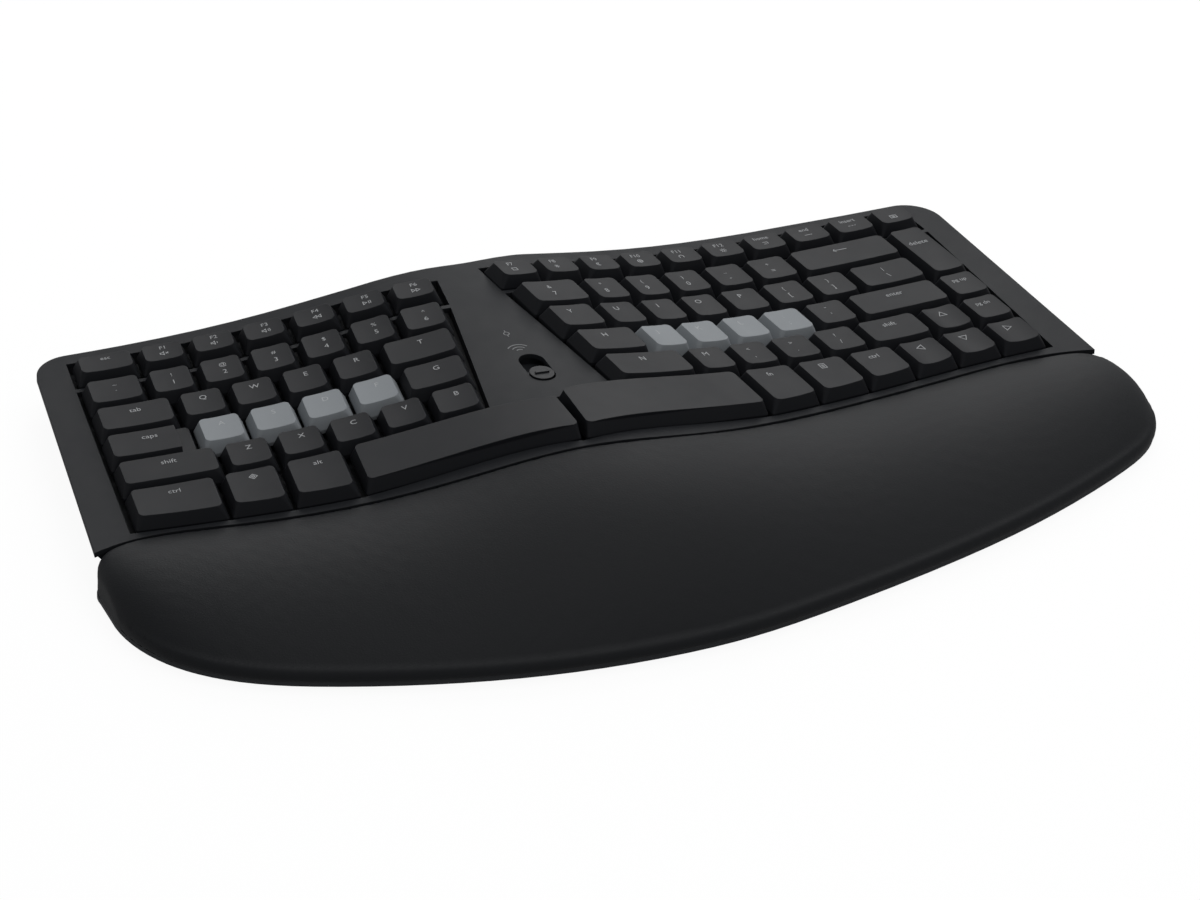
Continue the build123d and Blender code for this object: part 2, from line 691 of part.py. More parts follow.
def battery_frame():
    """Half sizes inside the battery box, and its centre."""
    x, y = pitches(BATTERY_PLACE_SHARE)
    half_x = BATTERY_LENGTH / 2 + BATTERY_END_ROOM
    half_y = 2 * BATTERY_RADIUS + BATTERY_SPACING / 2 + BOX_CLEARANCE
    return x, y, half_x, half_y


def tilt_pocket(side):
    """Box of the pocket under the case that a tilt foot folds into, and its hinge place."""
    x, y = pitches(TILT_PLACE_SHARES[side])
    width = TILT_FOOT_WIDTH + 2 * TILT_FOOT_CLEARANCE
    length = TILT_FOOT_LENGTH + 2 * TILT_FOOT_CLEARANCE
    height = TILT_FOOT_THICKNESS + TILT_FOOT_CLEARANCE
    hinge = (x, y - TILT_FOOT_LENGTH / 2 + TILT_FOOT_THICKNESS / 2,
             FOOT_HEIGHT + TILT_FOOT_THICKNESS / 2)
    return x, y, width, length, height, hinge


def up_cylinder(x, y, low, radius, height):
    return Pos(x, y, low) * Cylinder(radius, height, align=(Align.CENTER, Align.CENTER, Align.MIN))


def up_box(x, y, low, width, depth, height):
    return Pos(x, y, low) * Box(width, depth, height, align=(Align.CENTER, Align.CENTER, Align.MIN))


def shelf_solid(gap):
    """Strip of the floor that runs forward under the hollow part of the palm rest."""
    seam = [pitches(share) for share in SEAM_SHARES[2:-2]]
    ahead = [(x, y - SHELF_DEPTH - gap) for x, y in reversed(seam)]
    behind = [(x, y + CASE_WALL) for x, y in seam]
    return plan_prism(behind + ahead, FOOT_HEIGHT - gap, FLOOR_TOP + gap)


def bottom_case():
    """Lower shell: floor, leaning sides, posts, battery box, tilt foot pockets and shelf."""
    outer = case_prism(SHELL_GAP) & wave_band(PLATE_DROP, 2 * DEEP)
    outer -= up_box(0, 0, -DEEP, 2 * REACH, 2 * REACH, DEEP + FOOT_HEIGHT)
    inner = case_prism(SHELL_GAP + CASE_WALL)
    inner -= up_box(0, 0, -DEEP, 2 * REACH, 2 * REACH, DEEP + FLOOR_TOP)
    shell = outer - inner + shelf_solid(0)
    adds = []
    cuts = []
    for side in ("left", "right"):
        for share in SUPPORT_SHARES[side]:
            x, y = block_point(side, *pitches(share))
            height = wave(x) - STACK_DROP - abs(wave_slope(x)) * POST_RADIUS - FOOT_HEIGHT
            adds.append(up_cylinder(x, y, FOOT_HEIGHT, POST_RADIUS, height))
        x, y, width, length, height, hinge = tilt_pocket(side)
        adds.append(up_box(x, y, FOOT_HEIGHT, width + 2 * POCKET_WALL, length + 2 * POCKET_WALL,
                           height + POCKET_WALL))
        cuts.append(up_box(x, y, 0, width, length, FOOT_HEIGHT + height))
        pin_hole = TILT_FOOT_WIDTH + 2 * (TILT_FOOT_CLEARANCE + TILT_PIN_LENGTH)
        cuts.append(Pos(*hinge) * Rot(0, 90, 0) * Cylinder(TILT_PIN_RADIUS + TILT_PIN_GAP, pin_hole))
    for share in CENTRE_SCREW_SHARES:
        x, y = pitches(share)
        adds.append(up_cylinder(x, y, FOOT_HEIGHT, POST_RADIUS, SPLIT_HEIGHT - FOOT_HEIGHT))
        cuts.append(up_cylinder(x, y, 0, SCREW_SHANK_RADIUS + SCREW_CLEARANCE, DEEP))
        cuts.append(up_cylinder(x, y, 0, SCREW_HEAD_RADIUS + SCREW_CLEARANCE,
                                FOOT_HEIGHT + SCREW_HEAD_HEIGHT + SCREW_CLEARANCE))
    for share in CARRIER_SCREW_SHARES:
        x, y = carrier_screw_place(share)
        cuts.append(up_cylinder(x, y, 0, SCREW_SHANK_RADIUS + SCREW_CLEARANCE, DEEP))
        cuts.append(up_cylinder(x, y, 0, SCREW_HEAD_RADIUS + SCREW_CLEARANCE,
                                FOOT_HEIGHT + SCREW_HEAD_HEIGHT + SCREW_CLEARANCE))
    x, y = pitches(BOARD_PLACE_SHARE)
    for sx in (-1, 1):
        for sy in (-1, 1):
            px = x + sx * (BOARD_WIDTH / 2 - STANDOFF_RADIUS)
            py = y + sy * (BOARD_DEPTH / 2 - STANDOFF_RADIUS)
            adds.append(up_cylinder(px, py, FOOT_HEIGHT, STANDOFF_RADIUS,
                                    FLOOR_THICKNESS + BOARD_STANDOFF))
    x, y, half_x, half_y = battery_frame()
    roof = FLOOR_TOP + BATTERY_LIFT + 2 * BATTERY_RADIUS + BOX_CLEARANCE
    adds.append(up_box(x, y, FOOT_HEIGHT, 2 * (half_x + BOX_WALL), 2 * (half_y + BOX_WALL),
                       roof + BOX_WALL - FOOT_HEIGHT))
    cuts.append(up_box(x, y, 0, 2 * half_x, 2 * half_y, roof))
    shell += adds
    shell -= cuts
    return shell


def carrier_screw_place(share):
    x = share * KEY_PITCH
    return x, seam_y(x) - CARRIER_SCREW_SETBACK


def pad_back(station):
    """Back of the palm rest at one station, just ahead of the seam."""
    return seam_y(station[0] * KEY_PITCH) - PAD_SEAM_GAP - station[3] * KEY_PITCH


def pad_section(station, depth, foot, back_inset):
    """Outline of the palm rest at one station, drawn in under its top by a depth."""
    x, nose, height, _ = station
    x = x * KEY_PITCH
    foot_y = nose * KEY_PITCH + depth
    back_y = pad_back(station) - back_inset
    top = (wave(x) - CAP_PROUD) * height - depth
    low = FOOT_HEIGHT + CARRIER_PLATE_THICKNESS + PAD_NOSE_HEIGHT - depth * PAD_NOSE_DRAW_SHARE
    nose_depth = PAD_NOSE_DEPTH * (low - foot) / PAD_NOSE_HEIGHT
    edge = PAD_EDGE_RADIUS
    sag = edge * (1 - math.sqrt(1 / 2))
    back_foot = Vector(x, back_y, foot)
    back_top = Vector(x, back_y, top - edge)
    turn = Vector(x, back_y - sag, top - sag)
    crest = Vector(x, back_y - edge, top)
    brow = Vector(x, foot_y + nose_depth, low)
    chord = crest - brow
    lift = Vector(0, -chord.Z, chord.Y).normalized() * chord.length * PAD_CROWN_SHARE
    middle = (crest + brow) * (1 / 2) + lift
    toe = Vector(x, foot_y + nose_depth / 4, foot)
    tip = Vector(x, foot_y, (low + foot) / 2)
    edges = [Line(back_foot, back_top), ThreePointArc(back_top, turn, crest),
             ThreePointArc(crest, middle, brow), ThreePointArc(brow, tip, toe),
             Line(toe, back_foot)]
    return Wire(edges)


def palm_shape(stations, depth, foot, back_inset):
    sections = [pad_section(station, depth, foot, back_inset) for station in stations]
    return Solid.make_loft(sections)


def carrier_plate():
    """Thin plate under the pad whose edge shows below the pad's nose."""
    noses = [pitches(station[:2]) for station in PAD_STATION_SHARES]
    nose = Spline(*[(x, y + CARRIER_INSET) for x, y in noses])
    back = Spline(*[(s[0] * KEY_PITCH, pad_back(s)) for s in PAD_STATION_SHARES])
    sides = [Line(nose @ 0, back @ 0), Line(nose @ 1, back @ 1)]
    face = make_face([*nose.edges(), *back.edges(), *sides]).face()
    return extrude(Pos(0, 0, FOOT_HEIGHT) * face, amount=CARRIER_PLATE_THICKNESS, dir=(0, 0, 1))


def palm_pieces():
    """The soft pad, and the hollow carrier that it wraps."""
    deck = FOOT_HEIGHT + CARRIER_PLATE_THICKNESS
    stations = [PAD_STATION_SHARES[place] for place in HUMP_STATIONS]
    hump = palm_shape(stations, PAD_THICKNESS + PAD_LINING_GAP, deck, PAD_LINING_GAP)
    room = palm_shape(stations, PAD_THICKNESS, deck, -PAD_BACK_OVERRUN)
    pad = palm_shape(PAD_STATION_SHARES, 0, deck, 0) - room
    hollow = palm_shape(stations, PAD_THICKNESS + CARRIER_WALL, 0, CARRIER_WALL)
    first = stations[0][0] * KEY_PITCH + CARRIER_WALL
    last = stations[-1][0] * KEY_PITCH - CARRIER_WALL
    hollow &= up_box((first + last) / 2, 0, 0, last - first, 2 * REACH, DEEP)
    inside = []
    bores = []
    for share in RIB_SHARES:
        inside.append(up_box(share * KEY_PITCH, 0, FOOT_HEIGHT, RIB_THICKNESS, 2 * REACH, DEEP))
    for share in CARRIER_SCREW_SHARES:
        x, y = carrier_screw_place(share)
        inside.append(up_cylinder(x, y, FOOT_HEIGHT, POST_RADIUS, DEEP))
        bores.append(up_cylinder(x, y, 0, SCREW_SHANK_RADIUS + SCREW_CLEARANCE,
                                 FOOT_HEIGHT + SCREW_HEAD_HEIGHT + CARRIER_SCREW_LENGTH + OVERRUN))
    carrier = carrier_plate() + hump - [*(hollow - inside).solids(), *bores, shelf_solid(SHELF_GAP)]
    return pad, carrier


def key_guide(side, inside):
    """Deck under a block with a square barrel for each stem, and the rim that it hangs from."""
    outline = block_prism(side)
    foot = make_face(Polyline(*block_outline(side, 0), close=True)).face()
    upper = make_face(Polyline(*upper_outline(side, BAR_FRONT_SHARE), close=True)).face()
    plan = (Sketch() + foot + upper).face()
    room = block_room(side)
    wide = extrude(offset(plan, RIM_WIDTH, kind=Kind.INTERSECTION), amount=DEEP, dir=(0, 0, 1))
    wide = wide & room & inside
    deck = wide & inner_band(DECK_DROP, DECK_FOOT_DROP)
    eased = [outline, Pos(RIM_EASE, 0, 0) * outline, Pos(-RIM_EASE, 0, 0) * outline]
    rim = (wide - eased) & inner_band(PLATE_DROP + SHEET_GAP, DOME_FOOT_DROP - SHEET_GAP)
    half = STEM_HALF + STEM_GAP + BARREL_WALL
    barrels = []
    holes = []
    for plane in stem_planes(side, DECK_DROP):
        barrels.append(plane * up_box(0, 0, -DECK_THICKNESS / 2, 2 * half, 2 * half,
                                      BARREL_RISE + DECK_THICKNESS / 2))
        hole = 2 * (STEM_HALF + STEM_GAP)
        holes.append(plane * Box(hole, hole, 2 * KEY_PITCH))
    for share in PLATE_SCREW_SHARES[side]:
        plane = surface_plane(side, *pitches(share), drop=DOME_FOOT_DROP - SHEET_GAP)
        boss = up_cylinder(0, 0, 0, POST_RADIUS, DOME_FOOT_DROP - DECK_FOOT_DROP + DECK_THICKNESS / 2)
        barrels.append(plane * boss)
        holes.append(plane * Cylinder(SCREW_SHANK_RADIUS + SCREW_CLEARANCE,
                                      2 * (DOME_FOOT_DROP - DECK_FOOT_DROP)))
    return deck + [rim, *barrels] - holes


def block_room(side):
    """Half of the space on a block's side of the centre line, short of it by half the gap."""
    x = CENTRE_X - REACH - BLOCK_GAP / 2 if side == "left" else CENTRE_X + REACH + BLOCK_GAP / 2
    return Pos(x, 0, 0) * Box(2 * REACH, 2 * REACH, 2 * REACH)


def sheet_plan(inside):
    """Plan of the switch sheets: both blocks and the strip that joins them."""
    x, y = pitches(RIBBON_PLACE_SHARE)
    strip = up_box(x, y, 0, BRIDGE_LENGTH, BRIDGE_WIDTH, DEEP)
    return (block_prism("left") + [block_prism("right"), strip]) & inside


def sheet_holes(radius):
    """Cutters for the screws that pass through the switch sheets."""
    holes = []
    for side, shares in PLATE_SCREW_SHARES.items():
        for share in shares:
            plane = surface_plane(side, *pitches(share), drop=STACK_DROP)
            holes.append(plane * Cylinder(radius, KEY_PITCH))
    return holes


def dome_sheet(plan):
    """Rubber sheet with a hollow dome, bonded on it, under each stem."""
    sheet = plan & inner_band(DOME_FOOT_DROP, MEMBRANE_DROP - SHEET_GAP)
    sheet -= sheet_holes(POST_RADIUS + SCREW_CLEARANCE)
    dome = Cone(DOME_FOOT_RADIUS, DOME_HEAD_RADIUS, DOME_HEIGHT,
                align=(Align.CENTER, Align.CENTER, Align.MIN))
    dome -= Cone(DOME_FOOT_RADIUS - DOME_WALL, DOME_HEAD_RADIUS - DOME_WALL, DOME_HEIGHT - DOME_WALL,
                 align=(Align.CENTER, Align.CENTER, Align.MIN))
    planes = stem_planes("left", DOME_FOOT_DROP) + stem_planes("right", DOME_FOOT_DROP)
    return Compound([sheet.solid(), *[(plane * dome).solid() for plane in planes]])


def ribbon_slot():
    x, y = pitches(RIBBON_PLACE_SHARE)
    return up_box(x, y, 0, RIBBON_WIDTH + 2 * SHELL_GAP, RIBBON_SLOT_DEPTH, DEEP)


def membrane_sheet(plan):
    sheet = plan & inner_band(MEMBRANE_DROP, BACKING_DROP - SHEET_GAP)
    return sheet - sheet_holes(SCREW_SHANK_RADIUS + SCREW_CLEARANCE)


def backing_plate(plan):
    sheet = plan & inner_band(BACKING_DROP, STACK_DROP)
    return sheet - [*sheet_holes(SCREW_SHANK_RADIUS + SCREW_CLEARANCE), ribbon_slot()]


def controller_board():
    """Circuit board with its chips and the ribbon connector, each a solid of its own."""
    x, y = pitches(BOARD_PLACE_SHARE)
    low = FLOOR_TOP + BOARD_STANDOFF
    top = low + BOARD_THICKNESS
    pieces = [up_box(x, y, low, BOARD_WIDTH, BOARD_DEPTH, BOARD_THICKNESS)]
    for size, share in zip(CHIP_SIZES, CHIP_PLACE_SHARES):
        pieces.append(up_box(x + share[0] * BOARD_WIDTH, y + share[1] * BOARD_DEPTH, top, *size))
    pieces.append(up_box(x, connector_y(), top, CONNECTOR_WIDTH, CONNECTOR_DEPTH, CONNECTOR_HEIGHT))
    return Compound([piece.solid() for piece in pieces])


def connector_y():
    return BOARD_PLACE_SHARE[1] * KEY_PITCH - BOARD_DEPTH / 4


def ribbon_cable():
    """Flat tail from the membrane, down through the backing plate's slot to the board."""
    x, y = pitches(RIBBON_PLACE_SHARE)
    board_top = FLOOR_TOP + BOARD_STANDOFF + BOARD_THICKNESS
    half = RIBBON_WIDTH / 2
    top = min(wave(x - half), wave(x + half)) - BACKING_DROP
    start = (y + RIBBON_SLOT_DEPTH / 2 - SHELL_GAP, top)
    end = (connector_y() + CONNECTOR_DEPTH / 2, board_top + CONNECTOR_HEIGHT / 2)
    corner = y - RIBBON_SLOT_DEPTH / 4
    path = FilletPolyline(start, (corner, top), (corner, end[1]), end, radius=RIBBON_BEND_RADIUS)
    band = path.wire().offset_2d(RIBBON_THICKNESS, kind=Kind.ARC, side=Side.LEFT)
    face = Plane.YZ * make_face(band.edges())
    return Pos(x, 0, 0) * extrude(face, amount=half, both=True)


def switch_box(width, length, top_drop, foot_drop, shift=0):
    box = up_box(0, shift, -foot_drop, width, length, foot_drop - top_drop)
    return switch_plane() * box


def slider_shift():
    """How far the knob rests ahead of the slot's middle."""
    return -SWITCH_TRAVEL / 2


def mode_switch_body():
    """Open box under the plate that carries the slider."""
    cavity_length = SLIDER_BASE_LENGTH + SWITCH_TRAVEL + 2 * SWITCH_CLEARANCE
    foot_drop = PLATE_DROP + SWITCH_BODY_HEIGHT
    body = switch_box(SWITCH_BODY_WIDTH, SWITCH_BODY_LENGTH, CAP_PROUD, foot_drop)
    body &= wave_band(PLATE_DROP, DEEP)
    cavity_foot = PLATE_DROP + SLIDER_BASE_THICKNESS + 2 * SWITCH_CLEARANCE
    return body - switch_box(SLIDER_BASE_WIDTH + 2 * SWITCH_CLEARANCE, cavity_length,
                             CAP_PROUD, cavity_foot)


def mode_switch_slider():
    """Knob with a thumb ridge on a wider base that the slot keeps in."""
    base_top = PLATE_DROP + SWITCH_CLEARANCE
    knob_top = CAP_PROUD - KNOB_PROUD
    base = switch_box(SLIDER_BASE_WIDTH, SLIDER_BASE_LENGTH, base_top,
                      base_top + SLIDER_BASE_THICKNESS, slider_shift())
    knob = RectangleRounded(KNOB_WIDTH, KNOB_LENGTH, KNOB_WIDTH * KNOB_ROUND_SHARE)
    knob = Pos(0, slider_shift(), -base_top) * extrude(knob, amount=base_top - knob_top)
    ridge = up_box(0, slider_shift(), -knob_top, RIDGE_LENGTH, KNOB_RIDGE, KNOB_RIDGE / 2)
    return base + switch_plane() * (knob + ridge)


def batteries():
    """Two cells side by side, laid opposite ways."""
    x, y, _, _ = battery_frame()
    height = FLOOR_TOP + BATTERY_LIFT + BATTERY_RADIUS
    cells = []
    for way in (-1, 1):
        place = Pos(x, y + way * (BATTERY_RADIUS + BATTERY_SPACING / 2), height) * Rot(0, 90 * way, 0)
        cell = Cylinder(BATTERY_RADIUS, BATTERY_LENGTH - BATTERY_NUB_LENGTH)
        nub = Pos(0, 0, BATTERY_LENGTH / 2) * Cylinder(BATTERY_NUB_RADIUS, BATTERY_NUB_LENGTH)
        cells.append((place * (cell + nub)).solid())
    return Compound(cells)


def battery_contacts():
    """A sprung leaf between each end of each cell and the wall of the box."""
    x, y, half_x, _ = battery_frame()
    height = FLOOR_TOP + BATTERY_LIFT + BATTERY_RADIUS
    leaves = []
    for way in (-1, 1):
        cell_y = y + way * (BATTERY_RADIUS + BATTERY_SPACING / 2)
        for end in (-1, 1):
            nub = BATTERY_NUB_LENGTH / 2
            reach = BATTERY_LENGTH / 2 + (nub if end == way else -nub)
            depth = half_x - reach
            leaf = Cylinder(CONTACT_RADIUS, CONTACT_THICKNESS,
                            align=(Align.CENTER, Align.CENTER, Align.MAX))
            coil = Cone(CONTACT_COIL_RADIUS / 2, CONTACT_COIL_RADIUS, depth - CONTACT_THICKNESS / 2,
                        align=(Align.CENTER, Align.CENTER, Align.MAX))
            coil = Pos(0, 0, -CONTACT_THICKNESS / 2) * coil
            place = Pos(x + end * half_x, cell_y, height) * Rot(0, 90 * end, 0)
            leaves.append((place * (leaf + coil)).solid())
    return Compound(leaves)


def battery_door():
    """Flush door in the floor, with ribs that hold the cells up."""
    x, y, half_x, half_y = battery_frame()
    door = up_box(x, y, FOOT_HEIGHT, 2 * (half_x - DOOR_GAP), 2 * (half_y - DOOR_GAP), FLOOR_THICKNESS)
    ribs = []
    for way in (-1, 1):
        cell_y = y + way * (BATTERY_RADIUS + BATTERY_SPACING / 2)
        ribs.append(up_box(x, cell_y, FLOOR_TOP - DOOR_GAP, BATTERY_LENGTH / 2, DOOR_RIB_WIDTH,
                           BATTERY_LIFT))
    return door + ribs


def rubber_feet():
    """Pads under the case and the palm rest, down to the desk."""
    feet = []
    for share_x, share_y, turn in RUBBER_PLACE_SHARES:
        x, y = pitches((share_x, share_y))
        pad = SlotOverall(PAD_FOOT_LENGTH, PAD_FOOT_WIDTH)
        feet.append((Pos(x, y, 0) * Rot(0, 0, turn) * extrude(pad, amount=FOOT_HEIGHT)).solid())
    return Compound(feet)


def screw(head_height, length):
    """Screw that points up, its head's underside at zero."""
    head = Cylinder(SCREW_HEAD_RADIUS, head_height, align=(Align.CENTER, Align.CENTER, Align.MAX))
    shank = Cylinder(SCREW_SHANK_RADIUS, length, align=(Align.CENTER, Align.CENTER, Align.MIN))
    drive = Cone(SCREW_HEAD_RADIUS / 2, 0, head_height, align=(Align.CENTER, Align.CENTER, Align.MIN))
    return head + shank - Pos(0, 0, -head_height) * drive


def case_screws():
    """Long screws in the middle, short ones in the palm rest and small ones in the key guides."""
    seat = FOOT_HEIGHT + SCREW_HEAD_HEIGHT + SCREW_CLEARANCE
    screws = []
    for share in CENTRE_SCREW_SHARES:
        screws.append(Pos(*pitches(share), seat) * screw(SCREW_HEAD_HEIGHT, LONG_SCREW_LENGTH))
    for share in CARRIER_SCREW_SHARES:
        place = Pos(*carrier_screw_place(share), seat)
        screws.append(place * screw(SCREW_HEAD_HEIGHT, CARRIER_SCREW_LENGTH))
    for side, shares in PLATE_SCREW_SHARES.items():
        for share in shares:
            plane = surface_plane(side, *pitches(share), drop=STACK_DROP + SCREW_CLEARANCE)
            screws.append(plane * screw(PLATE_SCREW_HEAD_HEIGHT, PLATE_SCREW_LENGTH))
    return Compound([piece.solid() for piece in screws])


def tilt_foot(side):
    """Folding foot: a plate with a round hinge edge and a pin at each end."""
    _, _, _, _, _, hinge = tilt_pocket(side)
    radius = TILT_FOOT_THICKNESS / 2
    reach = TILT_FOOT_LENGTH - radius
    plate = Pos(0, reach / 2, 0) * Box(TILT_FOOT_WIDTH, reach, TILT_FOOT_THICKNESS)
    hub = Rot(0, 90, 0) * Cylinder(radius, TILT_FOOT_WIDTH)
    pin_length = TILT_FOOT_WIDTH + 2 * (TILT_FOOT_CLEARANCE + TILT_PIN_LENGTH) - 2 * TILT_PIN_GAP
    pin = Rot(0, 90, 0) * Cylinder(TILT_PIN_RADIUS, pin_length)
    return Pos(*hinge) * (plate + hub + pin)


def build_nodes():
    """Every node of the keyboard by name, in the layout's own frame."""
    inside = case_prism(2 * SHELL_GAP + CASE_WALL)
    plan = sheet_plan(inside)
    pad, carrier = palm_pieces()
    nodes = {
        "top_case": top_case(),
        "bottom_case": bottom_case(),
        "palm_pad": pad,
        "palm_carrier": carrier,
        "dome_sheet": dome_sheet(plan),
        "membrane_sheet": membrane_sheet(plan),
        "backing_plate": backing_plate(plan),
        "controller_board": controller_board(),
        "ribbon_cable": ribbon_cable(),
        "mode_switch_body": mode_switch_body(),
        "mode_switch_slider": mode_switch_slider(),
        "batteries": batteries(),
        "battery_contacts": battery_contacts(),
        "battery_door": battery_door(),
        "rubber_feet": rubber_feet(),
        "case_screws": case_screws(),
    }
    for side in ("left", "right"):
        nodes["key_guide_" + side] = key_guide(side, inside)
        nodes["tilt_foot_" + side] = tilt_foot(side)
    caps = {}
    for side, name, corners in all_keys():
        caps.setdefault(key_node(name), []).append(key_cap(side, corners, name).solid())
    for name, solids in caps.items():
        nodes[name] = solids[0] if len(solids) == 1 else Compound(solids)
    return nodes


def main():
    os.makedirs("parts", exist_ok=True)
    nodes = build_nodes()
    box = Compound([Compound(shape.solids()) for shape in nodes.values()]).bounding_box()
    shift = Pos(-box.center().X, -box.center().Y, 0)
    print("middle of the footprint", box.center().X, box.center().Y, "size", box.size)
    for name, shape in nodes.items():
        export_step(shift * Compound(shape.solids()), "parts/" + name + ".step")


if __name__ == "__main__":
    main()
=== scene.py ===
"""Looks of a split keyboard with a cushioned palm rest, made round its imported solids."""

import math

import bmesh
import bpy
from mathutils import Matrix, Vector
from mathutils.bvhtree import BVHTree


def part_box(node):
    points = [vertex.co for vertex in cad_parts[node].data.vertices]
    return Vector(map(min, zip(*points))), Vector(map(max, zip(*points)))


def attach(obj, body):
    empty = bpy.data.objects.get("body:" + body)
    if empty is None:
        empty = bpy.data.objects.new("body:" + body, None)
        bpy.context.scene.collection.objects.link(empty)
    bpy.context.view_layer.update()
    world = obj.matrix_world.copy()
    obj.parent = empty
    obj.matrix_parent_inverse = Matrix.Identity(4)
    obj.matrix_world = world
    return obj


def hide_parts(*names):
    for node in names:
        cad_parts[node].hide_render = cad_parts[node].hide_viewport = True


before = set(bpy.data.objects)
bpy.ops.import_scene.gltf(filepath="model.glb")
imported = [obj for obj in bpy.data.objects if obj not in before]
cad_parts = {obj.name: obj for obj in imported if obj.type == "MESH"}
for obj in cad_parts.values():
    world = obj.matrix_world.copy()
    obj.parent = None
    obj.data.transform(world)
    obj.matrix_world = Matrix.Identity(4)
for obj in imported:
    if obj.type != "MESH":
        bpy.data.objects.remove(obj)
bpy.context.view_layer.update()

bl_info = {
    "name": "Split keyboard",
    "version": (1, 0, 0),
    "blender": (4, 5, 0),
    "location": "3D View > Sidebar > Keyboard",
    "description": "Finishes, key legends, palm pad and studio of a split keyboard",
    "category": "Object",
}

MM = 0.001
SPLAY_ANGLE = math.radians(7.5)
MIDDLE_X = -26 * MM
KEY_PITCH = 19.05 * MM
CAP_BACK_TAPER = 1.4 * MM
DROP_HEIGHT = 0.2
PROBE_STEP = 2.5 * MM
PRINT_REACH = 4 * MM
WELD_DISTANCE = 0.001 * MM
CAP_GRAIN_SCALE = 3200.0
CAP_GRAIN_DEPTH = 0.010 * MM
CAP_EDGE_RADIUS = 0.35 * MM
INK_GRAIN_SCALE = 4000.0
INK_GRAIN_DEPTH = 0.002 * MM
CELL_END_LENGTH = 2.5 * MM
DELETE_MARGIN_SHARE = 2.4
FUNCTION_ROW_KEYS = 4

# Signs on the middle of the case: their places, widths and the share of the line's width
WAVES_PLACE = (-24.3 * MM, 34.8 * MM)
WAVES_WIDTH = 5.2 * MM
WAVES_LINE_SHARE = 1.7
LINK_PLACE = (-24.4 * MM, 45.9 * MM)
LINK_WIDTH = 3.8 * MM
LINK_LINE_SHARE = 1.4
PANEL_INK_SHADE = 0.5

# Studio: the share of the white background that glossy rays see, the floor's glow, the lamps
GLOSS_SHARE = 0.2
FLOOR_GLOW = 1.17
FLOOR_GLOW_SHARE = 0.8
KEY_LAMP = ((0.66, 1.5, 1.0), 1.5)
FILL_LAMP = ((0.35, -0.2, 1.85), 1.6)

# Camera: its place, its turns in degrees, and its focal length as a share of the picture's width
CAMERA_PLACE = (-725.7 * MM, -1559.3 * MM, 1064.0 * MM)
CAMERA_TURNS = (24.81, 31.51, 2.92)
CAMERA_FOCAL_SHARE = 5452 / 1200
CAMERA_SENSOR = 36.0
CAMERA_CLIPS = (0.05, 60.0)

# Printed legends of each node, one per keycap, from the back row on and from left to right
LETTERS = "abcdefghijklmnopqrstuvwxyz"
NUMBER_LEGENDS = {
    "number_keys_left": ["~`", "!1", "@2", "#3", "$4", "%5", "^6"],
    "number_keys_right": ["&7", "*8", "(9", ")0", "_-", "+="],
    "punctuation_keys": ["{[", "}]", "|\\", ":;", "\"'", "<,", ">.", "?/"],
}
WORD_LEGENDS = {
    "modifier_keys_left": ["tab", "shift", "ctrl", "diamond", "alt"],
    "modifier_keys_right": ["shift", "fn", "list", "ctrl"],
    "caps_lock_key": ["caps"],
    "enter_key": ["enter"],
    "backspace_key": ["long_arrow"],
    "arrow_keys": ["up", "left", "down", "right"],
}
FUNCTION_LEGENDS = {
    "function_keys_left": [("esc", ""), ("F1", "mute"), ("F2", "quiet"), ("F3", "loud"),
                           ("F4", "rewind"), ("F5", "play"), ("F6", "forward")],
    "function_keys_right": [("F7", "square"), ("F8", "small_sun"), ("F9", "moon"),
                            ("F10", "globe"), ("F11", "headset"), ("F12", "large_sun")],
}
NAVIGATION_LEGENDS = [("home", "corner"), ("end", "bar"), ("insert", "dots"), ("", "screen"),
                      ("delete", ""), ("pg up", ""), ("pg dn", "")]
HOME_KEYS = ["a_key", "s_key", "d_key", "f_key", "j_key", "k_key", "l_key"]
HOME_PLACE = ("punctuation_keys", 3)


class Socket:
    """Output of a node. An expression on it adds Math nodes to its material."""

    def __init__(self, finish, output):
        self.finish = finish
        self.output = output

    def maths(self, operation, first, second):
        values = {0: first, 1: second}
        return self.finish.node("ShaderNodeMath", {"operation": operation}, values)

    def __add__(self, other):
        return self.maths("ADD", self, other)

    __radd__ = __add__

    def __mul__(self, other):
        return self.maths("MULTIPLY", self, other)

    __rmul__ = __mul__

    def __sub__(self, other):
        return self.maths("SUBTRACT", self, other)

    def __rsub__(self, other):
        return self.maths("SUBTRACT", other, self)

    def __gt__(self, other):
        return self.maths("GREATER_THAN", self, other)

    def __lt__(self, other):
        return self.maths("LESS_THAN", self, other)


